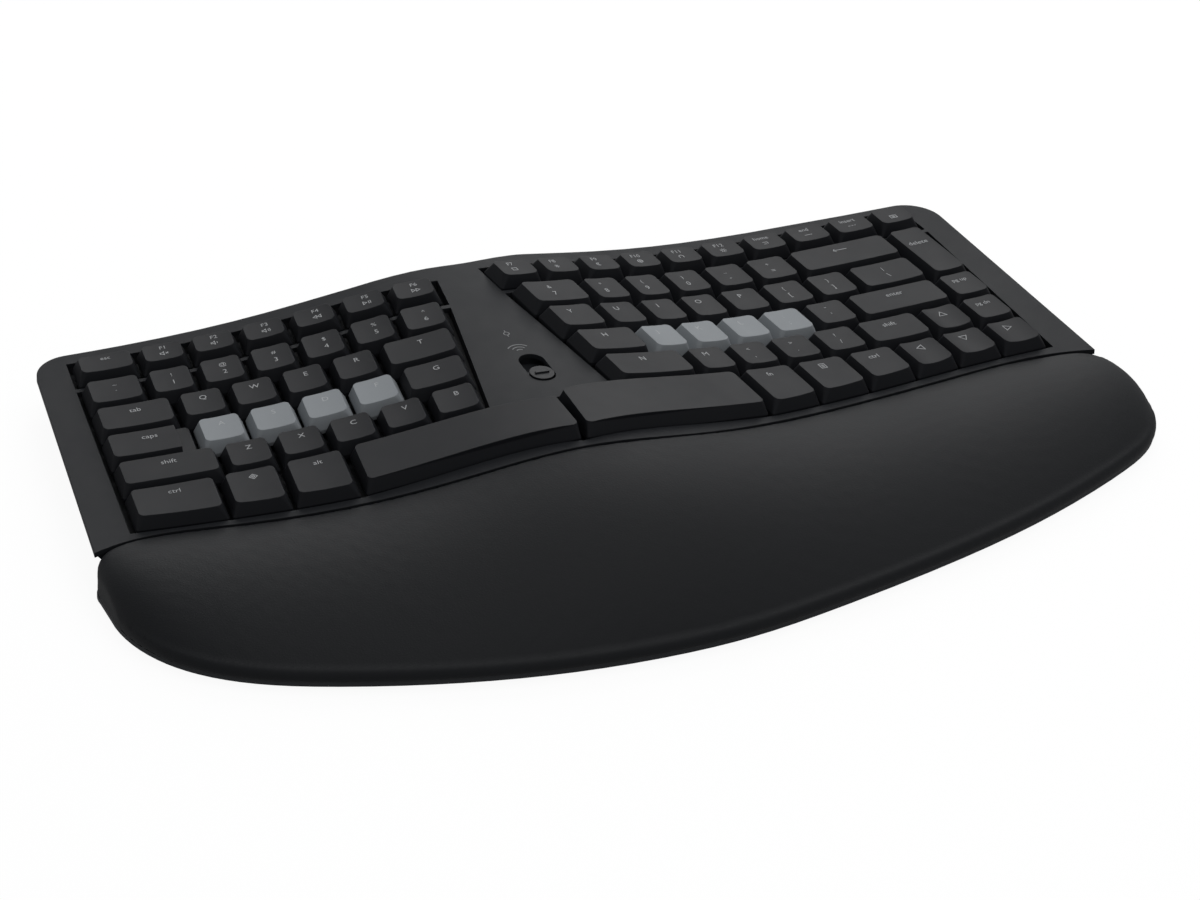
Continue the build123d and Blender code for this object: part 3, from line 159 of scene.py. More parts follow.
class Finish:
    """A material in the making: its nodes, its shader and the object's own coordinates."""

    def __init__(self, name, constants=None):
        self.material = bpy.data.materials.new(name)
        self.material.use_nodes = True
        self.tree = self.material.node_tree
        self.tree.nodes.clear()
        self.shader = self.tree.nodes.new("ShaderNodeBsdfPrincipled")
        output = self.tree.nodes.new("ShaderNodeOutputMaterial")
        self.tree.links.new(self.shader.outputs["BSDF"], output.inputs["Surface"])
        for key, value in (constants or {}).items():
            self.shader.inputs[key].default_value = value
        self.place = self.node("ShaderNodeTexCoord", output="Object")

    def node(self, kind, settings=None, values=None, output=0):
        """One node: its settings first, then the values or links of its sockets."""
        node = self.tree.nodes.new(kind)
        for key, value in (settings or {}).items():
            if key == "stops":
                self.set_stops(node.color_ramp, value)
            else:
                setattr(node, key, value)
        for key, value in (values or {}).items():
            self.feed(node.inputs[key], value)
        return Socket(self, node.outputs[output])

    def feed(self, socket, value):
        if isinstance(value, Socket):
            self.tree.links.new(value.output, socket)
        elif socket.type == "RGBA":
            socket.default_value = (*value[:3], 1)
        else:
            socket.default_value = value

    def set_stops(self, ramp, stops):
        while len(ramp.elements) < len(stops):
            ramp.elements.new(1)
        for element, (position, grey) in zip(ramp.elements, stops):
            element.position = position
            element.color = (grey, grey, grey, 1)

    def noise(self, scale, detail=2.0, place=None):
        values = {"Vector": place or self.place, "Scale": scale, "Detail": detail}
        return self.node("ShaderNodeTexNoise", None, values)

    def cells(self, scale, feature="F1"):
        values = {"Vector": self.place, "Scale": scale}
        return self.node("ShaderNodeTexVoronoi", {"feature": feature}, values, "Distance")

    def ramp(self, value, stops):
        return self.node("ShaderNodeValToRGB", {"stops": stops}, {"Fac": value})

    def mix(self, factor, first, second):
        values = {0: factor, 6: first, 7: second}
        return self.node("ShaderNodeMix", {"data_type": "RGBA"}, values, 2)

    def axis(self, name):
        return self.node("ShaderNodeSeparateXYZ", None, {"Vector": self.place}, name)

    def bump(self, height, distance, radius=0.0):
        """Height on the surface, over edges that the shader rounds off by a radius."""
        values = {"Height": height, "Distance": distance, "Strength": 1.0}
        if radius:
            values["Normal"] = self.node("ShaderNodeBevel", {"samples": 6}, {"Radius": radius})
        self.feed(self.shader.inputs["Normal"], self.node("ShaderNodeBump", None, values))

    def surface(self, name, value):
        self.feed(self.shader.inputs[name], value)


def shade(colour, factor):
    """A colour, lighter or darker by a factor."""
    return tuple(channel * factor for channel in colour[:3])


def moulded_plastic(name, colour, roughness, grain_scale, grain_depth, radius=0.25 * MM):
    """Moulded plastic: fine spark grain, slow cloudy tone and slightly uneven gloss."""
    finish = Finish(name, {"Specular IOR Level": 0.09})
    cloud = finish.noise(26.0, 3.0)
    worn = finish.noise(160.0, 4.0)
    grain = finish.noise(grain_scale, 2.0)
    tone = finish.mix(cloud, shade(colour, 0.86), shade(colour, 1.12))
    finish.surface("Base Color", finish.mix(grain * 0.35, tone, shade(colour, 1.3)))
    finish.surface("Roughness", roughness + (cloud - 0.5) * 0.10 + (worn - 0.5) * 0.08)
    finish.bump(grain, grain_depth, radius)
    return finish


def printing_ink(name, colour):
    """Matte ink, almost without grain and with its edges left sharp."""
    return moulded_plastic(name, colour, 0.5, INK_GRAIN_SCALE, INK_GRAIN_DEPTH, 0.0)


def soft_skin(name, colour):
    """Soft padded skin: fine leather grain with painted shade in its creases, faint pores and a
    dull sheen.
    """
    finish = Finish(name, {"Specular IOR Level": 0.14, "Sheen Weight": 0.02,
                           "Sheen Roughness": 0.5})
    cloud = finish.noise(14.0, 3.0)
    pebble = finish.cells(1150.0)
    fine = finish.noise(3800.0, 2.0)
    crease_and_shade = finish.ramp(pebble, [(0.0, 0.0), (0.45, 0.8), (0.8, 1.0)])
    tone = finish.mix(cloud, shade(colour, 0.88), shade(colour, 1.1))
    # Painted shade: the creases of the leather grain are darkened in the base colour, where shade
    # falls.
    finish.surface("Base Color", finish.mix(crease_and_shade * 0.25, tone, shade(colour, 0.8)))
    finish.surface("Roughness", 0.56 + (cloud - 0.5) * 0.10 + (fine - 0.5) * 0.06)
    finish.bump((1 - crease_and_shade) * 0.8 + fine * 0.2, 0.035 * MM)
    return finish


def sheet_metal(name, colour, roughness):
    """Rolled steel with fine lines along X."""
    finish = Finish(name, {"Metallic": 1.0})
    stretch = finish.node("ShaderNodeVectorMath", {"operation": "MULTIPLY"},
                          {0: finish.place, 1: (40.0, 2400.0, 2400.0)})
    lines = finish.noise(1.0, 3.0, stretch)
    cloud = finish.noise(60.0, 3.0)
    finish.surface("Base Color", finish.mix(lines, shade(colour, 0.8), shade(colour, 1.1)))
    finish.surface("Roughness", roughness + (cloud - 0.5) * 0.2)
    finish.bump(lines, 0.004 * MM)
    return finish


def printed_film(name, colour, line_colour, scale):
    """Film or board with a printed pattern of lines."""
    finish = Finish(name, {"Coat Roughness": 0.2})
    paths = finish.cells(scale, "DISTANCE_TO_EDGE")
    lines = finish.ramp(paths, [(0.0, 1.0), (0.06, 1.0), (0.08, 0.0)])
    finish.surface("Base Color", finish.mix(lines, colour, line_colour))
    finish.surface("Roughness", 0.32 + lines * 0.15)
    finish.bump(lines, 0.02 * MM)
    return finish


def cell_jacket(name, colour, end_colour, reach):
    """Cell wrapped in a plain sleeve, its two ends bare metal."""
    finish = Finish(name)
    lowest, highest = reach
    scuff = finish.noise(300.0, 4.0)
    bare = (finish.axis("X") < lowest) + (finish.axis("X") > highest)
    finish.surface("Base Color", finish.mix(bare, colour, end_colour))
    finish.surface("Metallic", bare)
    finish.surface("Roughness", 0.26 + scuff * 0.18)
    finish.bump(scuff, 0.01 * MM)
    return finish


def dress(node, finish):
    """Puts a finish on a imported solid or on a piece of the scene."""
    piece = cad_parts[node] if isinstance(node, str) else node
    piece.data.materials.clear()
    piece.data.materials.append(finish.material)


class CapFrames:
    """Where the tops of a node's keycaps are, and which way they face."""

    def __init__(self, node):
        self.mesh = bmesh.new()
        self.mesh.from_mesh(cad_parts[node].data)
        self.tree = BVHTree.FromBMesh(self.mesh)
        bmesh.ops.remove_doubles(self.mesh, verts=self.mesh.verts, dist=WELD_DISTANCE)
        low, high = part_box(node)
        turn = -SPLAY_ANGLE if (low.x + high.x) / 2 < MIDDLE_X else SPLAY_ANGLE
        self.along = Vector((math.cos(turn), math.sin(turn), 0))
        self.back = Vector((-math.sin(turn), math.cos(turn), 0))
        self.caps = self.sort_caps([self.extent(island) for island in self.islands()])
        self.mesh.free()

    def islands(self):
        left = set(self.mesh.verts)
        while left:
            start = left.pop()
            found = [start]
            for vert in found:
                for edge in vert.link_edges:
                    other = edge.other_vert(vert)
                    if other in left:
                        left.remove(other)
                        found.append(other)
            yield found

    def extent(self, island):
        """Lowest and highest place of a cap along its row and towards the back."""
        alongs = [vert.co.dot(self.along) for vert in island]
        backs = [vert.co.dot(self.back) for vert in island]
        return (min(alongs), max(alongs), min(backs), max(backs))

    def sort_caps(self, caps):
        """Caps in reading order: by row from the back, then from left to right."""
        caps.sort(key=lambda cap: -cap[3])
        rows = []
        for cap in caps:
            if rows and rows[-1][0][3] - cap[3] < KEY_PITCH / 2:
                rows[-1].append(cap)
            else:
                rows.append([cap])
        return [cap for row in rows for cap in sorted(row)]

    def drop(self, along, back):
        """Point of the node's surface under a plan place."""
        start = self.along * along + self.back * back + Vector((0, 0, DROP_HEIGHT))
        return self.tree.ray_cast(start, Vector((0, 0, -1)))[0]

    def top(self, place, from_back):
        """Matrix of a legend's place: X along the row, Y to the back, Z out of the cap."""
        low, high, _, back = self.caps[place]
        middle = (low + high) / 2
        row = back - CAP_BACK_TAPER - from_back
        left = self.drop(middle - PROBE_STEP, row)
        right = self.drop(middle + PROBE_STEP, row)
        ahead = self.drop(middle, row - PROBE_STEP)
        behind = self.drop(middle, row + PROBE_STEP)
        x_axis = (right - left).normalized()
        z_axis = x_axis.cross(behind - ahead).normalized()
        y_axis = z_axis.cross(x_axis)
        matrix = Matrix((x_axis, y_axis, z_axis)).transposed().to_4x4()
        matrix.translation = (left + right) / 2
        return matrix


class Print:
    """One print of ink on a node: letters and signs that are laid on its surface."""

    def __init__(self, name, node, body):
        self.name = name
        self.body = body
        self.mesh = bmesh.new()
        carrier = bmesh.new()
        carrier.from_mesh(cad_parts[node].data)
        self.tree = BVHTree.FromBMesh(carrier)
        carrier.free()

    def lay(self, mesh, matrix):
        """Adds a flat mesh at a place, then drapes it on the surface as a thin closed film."""
        outward = matrix.to_3x3() @ Vector((0, 0, 1))
        sizes = bpy.context.scene.keyboard_print
        for vert in mesh.verts:
            over = vert.co.z > 0
            flat = matrix @ Vector((vert.co.x, vert.co.y, 0))
            start = flat + outward * PRINT_REACH
            hit = self.tree.ray_cast(start, -outward, 2 * PRINT_REACH)[0]
            lift = sizes.ink_height if over else -sizes.ink_depth
            vert.co = (hit or flat) + outward * lift
        scratch = bpy.data.meshes.new("scratch")
        mesh.to_mesh(scratch)
        self.mesh.from_mesh(scratch)
        bpy.data.meshes.remove(scratch)
        mesh.free()

    def word(self, text, matrix, size):
        """Letters, centred on a place."""
        curve = bpy.data.curves.new("word", "FONT")
        curve.body = text
        curve.size = size
        curve.align_x = "CENTER"
        curve.align_y = "CENTER"
        curve.extrude = size * 0.02
        curve.offset = -size * bpy.context.scene.keyboard_print.thinning
        curve.resolution_u = 3
        holder = bpy.data.objects.new("word", curve)
        bpy.context.scene.collection.objects.link(holder)
        bpy.context.view_layer.update()
        depsgraph = bpy.context.evaluated_depsgraph_get()
        letters = bpy.data.meshes.new_from_object(holder.evaluated_get(depsgraph))
        bpy.data.objects.remove(holder)
        bpy.data.curves.remove(curve)
        mesh = bmesh.new()
        mesh.from_mesh(letters)
        bpy.data.meshes.remove(letters)
        bmesh.ops.remove_doubles(mesh, verts=mesh.verts, dist=0.0001 * MM)
        self.lay(mesh, matrix)

    def sign(self, strokes, matrix, size, line):
        """A drawn sign: each stroke is a list of points, closed where it ends at its start."""
        mesh = bmesh.new()
        for stroke in strokes:
            points = [Vector((x * size, y * size, 0)) for x, y in stroke]
            closed = (points[0] - points[-1]).length < 0.01 * MM
            if closed:
                points.pop()
            self.ribbon(mesh, points, closed, line / 2)
        self.lay(mesh, matrix)

    def ribbon(self, mesh, points, closed, half):
        """Flat line of even width along points, a closed solid of a hair's thickness."""
        count = len(points)
        rims = []
        for place, point in enumerate(points):
            before = points[place - 1] if closed or place else point
            after = points[(place + 1) % count] if closed or place < count - 1 else point
            first = (point - before).normalized() if before is not point else None
            second = (after - point).normalized() if after is not point else None
            run = ((first or second) + (second or first)).normalized()
            side = Vector((-run.y, run.x, 0))
            edge = Vector((-(second or first).y, (second or first).x, 0))
            side *= half / max(side.dot(edge), 0.4)
            rims.append([mesh.verts.new(point + side * way + Vector((0, 0, high)))
                         for way, high in ((-1, -half), (1, -half), (1, half), (-1, half))])
        for place in range(count if closed else count - 1):
            near, far = rims[place], rims[(place + 1) % count]
            for corner in range(4):
                after = (corner + 1) % 4
                mesh.faces.new((near[corner], near[after], far[after], far[corner]))
        if not closed:
            mesh.faces.new(list(reversed(rims[0])))
            mesh.faces.new(rims[-1])

    def done(self, finish):
        mesh = bpy.data.meshes.new(self.name)
        bmesh.ops.recalc_face_normals(self.mesh, faces=self.mesh.faces)
        self.mesh.to_mesh(mesh)
        self.mesh.free()
        piece = bpy.data.objects.new(self.name, mesh)
        bpy.context.scene.collection.objects.link(piece)
        dress(piece, finish)
        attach(piece, self.body)


def arc(x, y, radius, start, end, steps=8):
    """Points of an arc, its angles in degrees."""
    angles = [math.radians(start + (end - start) * step / steps) for step in range(steps + 1)]
    return [(x + radius * math.cos(angle), y + radius * math.sin(angle)) for angle in angles]


def loop(*points):
    return [*points, points[0]]


def speaker():
    return [loop((-0.5, -0.12), (-0.5, 0.12), (-0.3, 0.12), (-0.08, 0.32), (-0.08, -0.32),
                 (-0.3, -0.12))]


def triangle(x, way):
    return loop((x - 0.18 * way, -0.28), (x + 0.22 * way, 0), (x - 0.18 * way, 0.28))


def rays(inner, outer):
    turns = [math.radians(45 * turn) for turn in range(8)]
    return [[(inner * math.cos(turn), inner * math.sin(turn)),
             (outer * math.cos(turn), outer * math.sin(turn))] for turn in turns]


SIGNS = {
    "mute": speaker() + [[(0.1, -0.15), (0.4, 0.15)], [(0.1, 0.15), (0.4, -0.15)]],
    "quiet": speaker() + [arc(-0.02, 0, 0.22, -45, 45)],
    "loud": speaker() + [arc(-0.02, 0, 0.22, -45, 45), arc(-0.02, 0, 0.42, -45, 45)],
    "rewind": [triangle(-0.25, -1), triangle(0.25, -1)],
    "play": [triangle(-0.25, 1), [(0.2, -0.28), (0.2, 0.28)], [(0.4, -0.28), (0.4, 0.28)]],
    "forward": [triangle(-0.25, 1), triangle(0.25, 1)],
    "square": [loop((-0.3, -0.25), (0.3, -0.25), (0.3, 0.25), (-0.3, 0.25))],
    "small_sun": [arc(0, 0, 0.14, 0, 360, 12)] + rays(0.24, 0.32),
    "large_sun": [arc(0, 0, 0.18, 0, 360, 12)] + rays(0.28, 0.42),
    "moon": [arc(0, 0, 0.28, 60, 300) + arc(0.16, 0, 0.24, 270, 90)],
    "globe": [arc(0, 0, 0.32, 0, 360, 16), [(-0.32, 0), (0.32, 0)], [(0, -0.32), (0, 0.32)]],
    "headset": [arc(0, 0, 0.3, -30, 210), [(-0.26, -0.28), (-0.26, 0)],
                [(0.26, -0.28), (0.26, 0)]],
    "corner": [[(-0.3, 0.2), (0.3, 0.2)], [(0.3, 0.2), (0.3, -0.2)], [(-0.3, -0.2), (0.1, -0.2)]],
    "bar": [[(-0.5, 0), (0.5, 0)]],
    "dots": [[(-0.5, 0), (-0.2, 0)], [(-0.05, 0), (0.2, 0)], [(0.35, 0), (0.5, 0)]],
    "screen": [loop((-0.4, -0.28), (0.4, -0.28), (0.4, 0.28), (-0.4, 0.28)),
               [(-0.2, 0.08), (0.2, 0.08)], [(-0.2, -0.08), (0.2, -0.08)]],
    "diamond": [loop((0, 0.45), (0.45, 0), (0, -0.45), (-0.45, 0)),
                loop((0, 0.18), (0.18, 0), (0, -0.18), (-0.18, 0))],
    "list": [loop((-0.35, -0.45), (0.35, -0.45), (0.35, 0.45), (-0.35, 0.45)),
             [(-0.18, 0.2), (0.18, 0.2)], [(-0.18, 0), (0.18, 0)], [(-0.18, -0.2), (0.18, -0.2)]],
    "long_arrow": [[(0.9, 0), (-0.9, 0)], [(-0.6, 0.3), (-0.9, 0), (-0.6, -0.3)]],
    "up": [loop((0, 0.45), (0.5, -0.4), (-0.5, -0.4))],
    "down": [loop((0, -0.45), (-0.5, 0.4), (0.5, 0.4))],
    "left": [loop((-0.45, 0), (0.4, -0.5), (0.4, 0.5))],
    "right": [loop((0.45, 0), (-0.4, 0.5), (-0.4, -0.5))],
}


class PrintSizes(bpy.types.PropertyGroup):
    letter: bpy.props.FloatProperty(
        name="Letter", description="Size of the letters on the keys",
        default=3.7 * MM, unit="LENGTH")
    word: bpy.props.FloatProperty(
        name="Word", description="Size of the words on the wide keys",
        default=3.5 * MM, unit="LENGTH")
    small: bpy.props.FloatProperty(
        name="Small word", description="Size of the words on the back row",
        default=3.0 * MM, unit="LENGTH")
    sign: bpy.props.FloatProperty(
        name="Sign", description="Width of the drawn signs", default=3.4 * MM, unit="LENGTH")
    line: bpy.props.FloatProperty(
        name="Line", description="Width of the lines of the signs",
        default=0.26 * MM, unit="LENGTH")
    thinning: bpy.props.FloatProperty(
        name="Thinning", description="How far the letters' strokes are drawn in, per size",
        default=0.008, subtype="FACTOR")
    ink_height: bpy.props.FloatProperty(
        name="Ink height", description="How far the ink stands out of the key",
        default=0.04 * MM, unit="LENGTH")
    ink_depth: bpy.props.FloatProperty(
        name="Ink depth", description="How far the ink reaches into the key",
        default=0.05 * MM, unit="LENGTH")
    back_margin: bpy.props.FloatProperty(
        name="Back margin", description="From the back edge of a key's top to its legend",
        default=4.6 * MM, unit="LENGTH")
    short_margin: bpy.props.FloatProperty(
        name="Short margin", description="The same margin in the short back row",
        default=2.9 * MM, unit="LENGTH")
    line_step: bpy.props.FloatProperty(
        name="Line step", description="From the upper sign of a number key to its digit",
        default=4.9 * MM, unit="LENGTH")
    short_step: bpy.props.FloatProperty(
        name="Short step", description="From the word of a back row key to its sign",
        default=3.9 * MM, unit="LENGTH")


class Colours(bpy.types.PropertyGroup):
    shell: bpy.props.FloatVectorProperty(
        name="Shell", description="Colour of the two case shells", subtype="COLOR",
        default=(0.0185, 0.0198, 0.0225))
    key: bpy.props.FloatVectorProperty(
        name="Key", description="Colour of the dark keycaps", subtype="COLOR",
        default=(0.0145, 0.0153, 0.0178))
    home_key: bpy.props.FloatVectorProperty(
        name="Home key", description="Colour of the pale keycaps of the home row",
        subtype="COLOR", default=(0.295, 0.315, 0.333))
    ink: bpy.props.FloatVectorProperty(
        name="Ink", description="Colour of the legends", subtype="COLOR",
        default=(0.5, 0.51, 0.52))
    pad: bpy.props.FloatVectorProperty(
        name="Pad", description="Colour of the palm pad's skin", subtype="COLOR",
        default=(0.0135, 0.0145, 0.0165))
    base: bpy.props.FloatVectorProperty(
        name="Base", description="Colour of the plate under the palm pad", subtype="COLOR",
        default=(0.05, 0.052, 0.056))


class PadSizes(bpy.types.PropertyGroup):
    grid: bpy.props.FloatProperty(
        name="Grid", description="Size of the mesh of the palm pad", default=1.4 * MM,
        unit="LENGTH")


class Studio(bpy.types.PropertyGroup):
    floor: bpy.props.FloatProperty(
        name="Floor", description="Width of the floor", default=12.0, unit="LENGTH")
    world: bpy.props.FloatProperty(
        name="World", description="Strength of the light from all around", default=0.3)
    key_light: bpy.props.FloatProperty(
        name="Key light", description="Power of the lamp over the back right",
        default=12.0, unit="POWER")
    fill_light: bpy.props.FloatProperty(
        name="Fill light", description="Power of the lamp above",
        default=8.0, unit="POWER")


class FinishShells(bpy.types.Operator):
    """Moulded charcoal plastic on the case shells, the door, the feet and the switch"""

    bl_idname = "keyboard.finish_shells"
    bl_label = "Finish the shells"

    def execute(self, context):
        colours = context.scene.keyboard_colours
        shell = moulded_plastic("charcoal_shell", colours.shell, 0.50, 2600.0, 0.02 * MM)
        for node in ("top_case", "bottom_case", "battery_door", "tilt_foot_left",
                     "tilt_foot_right", "mode_switch_body"):
            dress(node, shell)
        dress("mode_switch_slider", moulded_plastic(
            "switch_knob", colours.key, 0.34, 1600.0, 0.01 * MM, 0.3 * MM))
        dress("palm_carrier", moulded_plastic(
            "carrier_plastic", colours.base, 0.45, 2000.0, 0.02 * MM, 0.2 * MM))
        return {"FINISHED"}


class FinishKeys(bpy.types.Operator):
    """Smooth matte plastic on the keycaps, pale on the home row"""

    bl_idname = "keyboard.finish_keys"
    bl_label = "Finish the keycaps"

    def execute(self, context):
        colours = context.scene.keyboard_colours
        grain = (CAP_GRAIN_SCALE, CAP_GRAIN_DEPTH, CAP_EDGE_RADIUS)
        dark = moulded_plastic("keycap", colours.key, 0.44, *grain)
        pale = moulded_plastic("home_keycap", colours.home_key, 0.42, *grain)
        mixed = moulded_plastic("mixed_keycap", colours.key, 0.44, *grain)
        self.paint_one(mixed, colours.home_key)
        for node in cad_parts:
            if node.endswith(("_key", "_bar")) or "_keys" in node:
                dress(node, pale if node in HOME_KEYS else dark)
        dress(HOME_PLACE[0], mixed)
        return {"FINISHED"}

    def paint_one(self, finish, colour):
        """Pale colour on the one home key that shares a node with dark ones."""
        caps = CapFrames(HOME_PLACE[0])
        low, high, front, back = caps.caps[HOME_PLACE[1]]
        values = {0: finish.place, 1: caps.along}
        along = finish.node("ShaderNodeVectorMath", {"operation": "DOT_PRODUCT"}, values, "Value")
        values = {0: finish.place, 1: caps.back}
        depth = finish.node("ShaderNodeVectorMath", {"operation": "DOT_PRODUCT"}, values, "Value")
        rim = 0.3 * MM
        inside = (along > low - rim) * (along < high + rim)
        inside = inside * (depth > front - rim) * (depth < back + rim)
        dark = Socket(finish, finish.shader.inputs["Base Color"].links[0].from_socket)
        cloud = finish.noise(26.0, 3.0)
        light = finish.mix(cloud, shade(colour, 0.9), shade(colour, 1.1))
        finish.surface("Base Color", finish.mix(inside, dark, light))


class PrintKeys(bpy.types.Operator):
    """Pale legends on the tops of the keycaps"""

    bl_idname = "keyboard.print_keys"
    bl_label = "Print the legends"

    def execute(self, context):
        self.sizes = context.scene.keyboard_print
        self.ink = printing_ink("key_ink", context.scene.keyboard_colours.ink)
        for letter in LETTERS:
            node = letter + "_key"
            caps, ink = CapFrames(node), Print("legend_" + node, node, node)
            ink.word(letter.upper(), caps.top(0, self.sizes.back_margin), self.sizes.letter)
            ink.done(self.ink)
        for node, pairs in NUMBER_LEGENDS.items():
            self.print_rows(node, pairs, self.two_signs)
        for node, words in WORD_LEGENDS.items():
            self.print_rows(node, words, self.one_word)
        for node, rows in FUNCTION_LEGENDS.items():
            self.print_rows(node, rows, self.word_and_sign)
        self.print_rows("navigation_keys", NAVIGATION_LEGENDS, self.navigation)
        return {"FINISHED"}

    def print_rows(self, node, legends, printer):
        caps, ink = CapFrames(node), Print("legend_" + node, node, node)
        if len(caps.caps) != len(legends):
            raise ValueError(f"{node} has {len(caps.caps)} caps, not {len(legends)}")
        for place, legend in enumerate(legends):
            printer(caps, ink, place, legend)
        ink.done(self.ink)

    def two_signs(self, caps, ink, place, pair):
        sizes = self.sizes
        ink.word(pair[0], caps.top(place, sizes.back_margin), sizes.small)
        ink.word(pair[1], caps.top(place, sizes.back_margin + sizes.line_step), sizes.letter)

    def one_word(self, caps, ink, place, word):
        self.word_or_sign(caps, ink, place, word, self.sizes.back_margin, self.sizes.word)

    def word_and_sign(self, caps, ink, place, pair):
        sizes = self.sizes
        self.word_or_sign(caps, ink, place, pair[0], sizes.short_margin, sizes.small)
        second = sizes.short_margin + sizes.short_step
        self.word_or_sign(caps, ink, place, pair[1], second, sizes.small)

    def navigation(self, caps, ink, place, pair):
        if place < FUNCTION_ROW_KEYS:
            self.word_and_sign(caps, ink, place, pair)
            return
        tall = pair[0] == "delete"
        margin = self.sizes.back_margin * (DELETE_MARGIN_SHARE if tall else 1)
        size = self.sizes.word if tall else self.sizes.small
        self.word_or_sign(caps, ink, place, pair[0], margin, size)

    def word_or_sign(self, caps, ink, place, mark, margin, size):
        if mark in SIGNS:
            matrix = caps.top(place, margin)
            ink.sign(SIGNS[mark], matrix, self.sizes.sign, self.sizes.line)
        elif mark:
            ink.word(mark, caps.top(place, margin), size)


class PrintPanel(bpy.types.Operator):
    """Small signs for the wireless mode switch on the middle of the case"""

    bl_idname = "keyboard.print_panel"
    bl_label = "Print the panel signs"

    def execute(self, context):
        sizes = context.scene.keyboard_print
        ink = Print("panel_signs", "top_case", "case")
        colour = shade(context.scene.keyboard_colours.ink, PANEL_INK_SHADE)
        finish = printing_ink("panel_ink", colour)
        waves = [arc(0, -0.5, radius, 40, 140) for radius in (0.28, 0.62, 0.96)]
        ink.sign(waves, self.over(*WAVES_PLACE), WAVES_WIDTH, sizes.line * WAVES_LINE_SHARE)
        link = [arc(0, 0, 0.28, 0, 360, 16), [(0, 0.28), (0, 0.62)], [(0, -0.28), (0, -0.62)]]
        ink.sign(link, self.over(*LINK_PLACE), LINK_WIDTH, sizes.line * LINK_LINE_SHARE)
        ink.done(finish)
        return {"FINISHED"}

    def over(self, x, y):
        """Flat place over the middle of the case."""
        return Matrix.Translation((x, y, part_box("top_case")[1].z))


class PadPalm(bpy.types.Operator):
    """Soft pad in place of its plain solid: a fine remesh of it, pulled onto its surface and
    shaded smooth
    """

    bl_idname = "keyboard.pad_palm"
    bl_label = "Pad the palm rest"

    def execute(self, context):
        sizes = context.scene.keyboard_pad
        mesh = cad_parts["palm_pad"].data.copy()
        mesh.name = "palm_cushion"
        cushion = bpy.data.objects.new("palm_cushion", mesh)
        context.scene.collection.objects.link(cushion)
        weld = cushion.modifiers.new("weld", "WELD")
        weld.merge_threshold = WELD_DISTANCE
        remesh = cushion.modifiers.new("remesh", "REMESH")
        remesh.mode = "VOXEL"
        remesh.voxel_size = sizes.grid
        snap = cushion.modifiers.new("snap", "SHRINKWRAP")
        snap.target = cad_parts["palm_pad"]
        snap.wrap_method = "NEAREST_SURFACEPOINT"
        context.view_layer.update()
        depsgraph = context.evaluated_depsgraph_get()
        shaped = bpy.data.meshes.new_from_object(cushion.evaluated_get(depsgraph))
        cushion.modifiers.clear()
        cushion.data = shaped
        for polygon in shaped.polygons:
            polygon.use_smooth = True
        dress(cushion, soft_skin("palm_skin", context.scene.keyboard_colours.pad))
        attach(cushion, "case")
        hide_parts("palm_pad")
        return {"FINISHED"}


class FinishInside(bpy.types.Operator):
    """Finishes of the sheets, guides, board, cells, screws and rubber feet"""

    bl_idname = "keyboard.finish_inside"
    bl_label = "Finish the inside"

    def execute(self, context):
        guide = moulded_plastic("guide_plastic", (0.03, 0.031, 0.033), 0.55, 1800.0, 0.02 * MM)
        dress("key_guide_left", guide)
        dress("key_guide_right", guide)
        dress("dome_sheet", moulded_plastic(
            "dome_silicone", (0.42, 0.43, 0.45), 0.62, 900.0, 0.02 * MM))
        dress("rubber_feet", moulded_plastic(
            "foot_rubber", (0.016, 0.016, 0.016), 0.8, 1300.0, 0.05 * MM))
        steel = sheet_metal("rolled_steel", (0.55, 0.56, 0.57), 0.36)
        for node in ("backing_plate", "battery_contacts", "case_screws"):
            dress(node, steel)
        film = printed_film("printed_film", (0.5, 0.52, 0.5), (0.62, 0.6, 0.55), 90.0)
        dress("membrane_sheet", film)
        dress("ribbon_cable", film)
        dress("controller_board", printed_film(
            "board_lacquer", (0.012, 0.07, 0.035), (0.03, 0.16, 0.07), 320.0))
        low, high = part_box("batteries")
        ends = (low.x + CELL_END_LENGTH, high.x - CELL_END_LENGTH)
        dress("batteries", cell_jacket("cell_sleeve", (0.03, 0.05, 0.09), (0.6, 0.6, 0.6), ends))
        return {"FINISHED"}


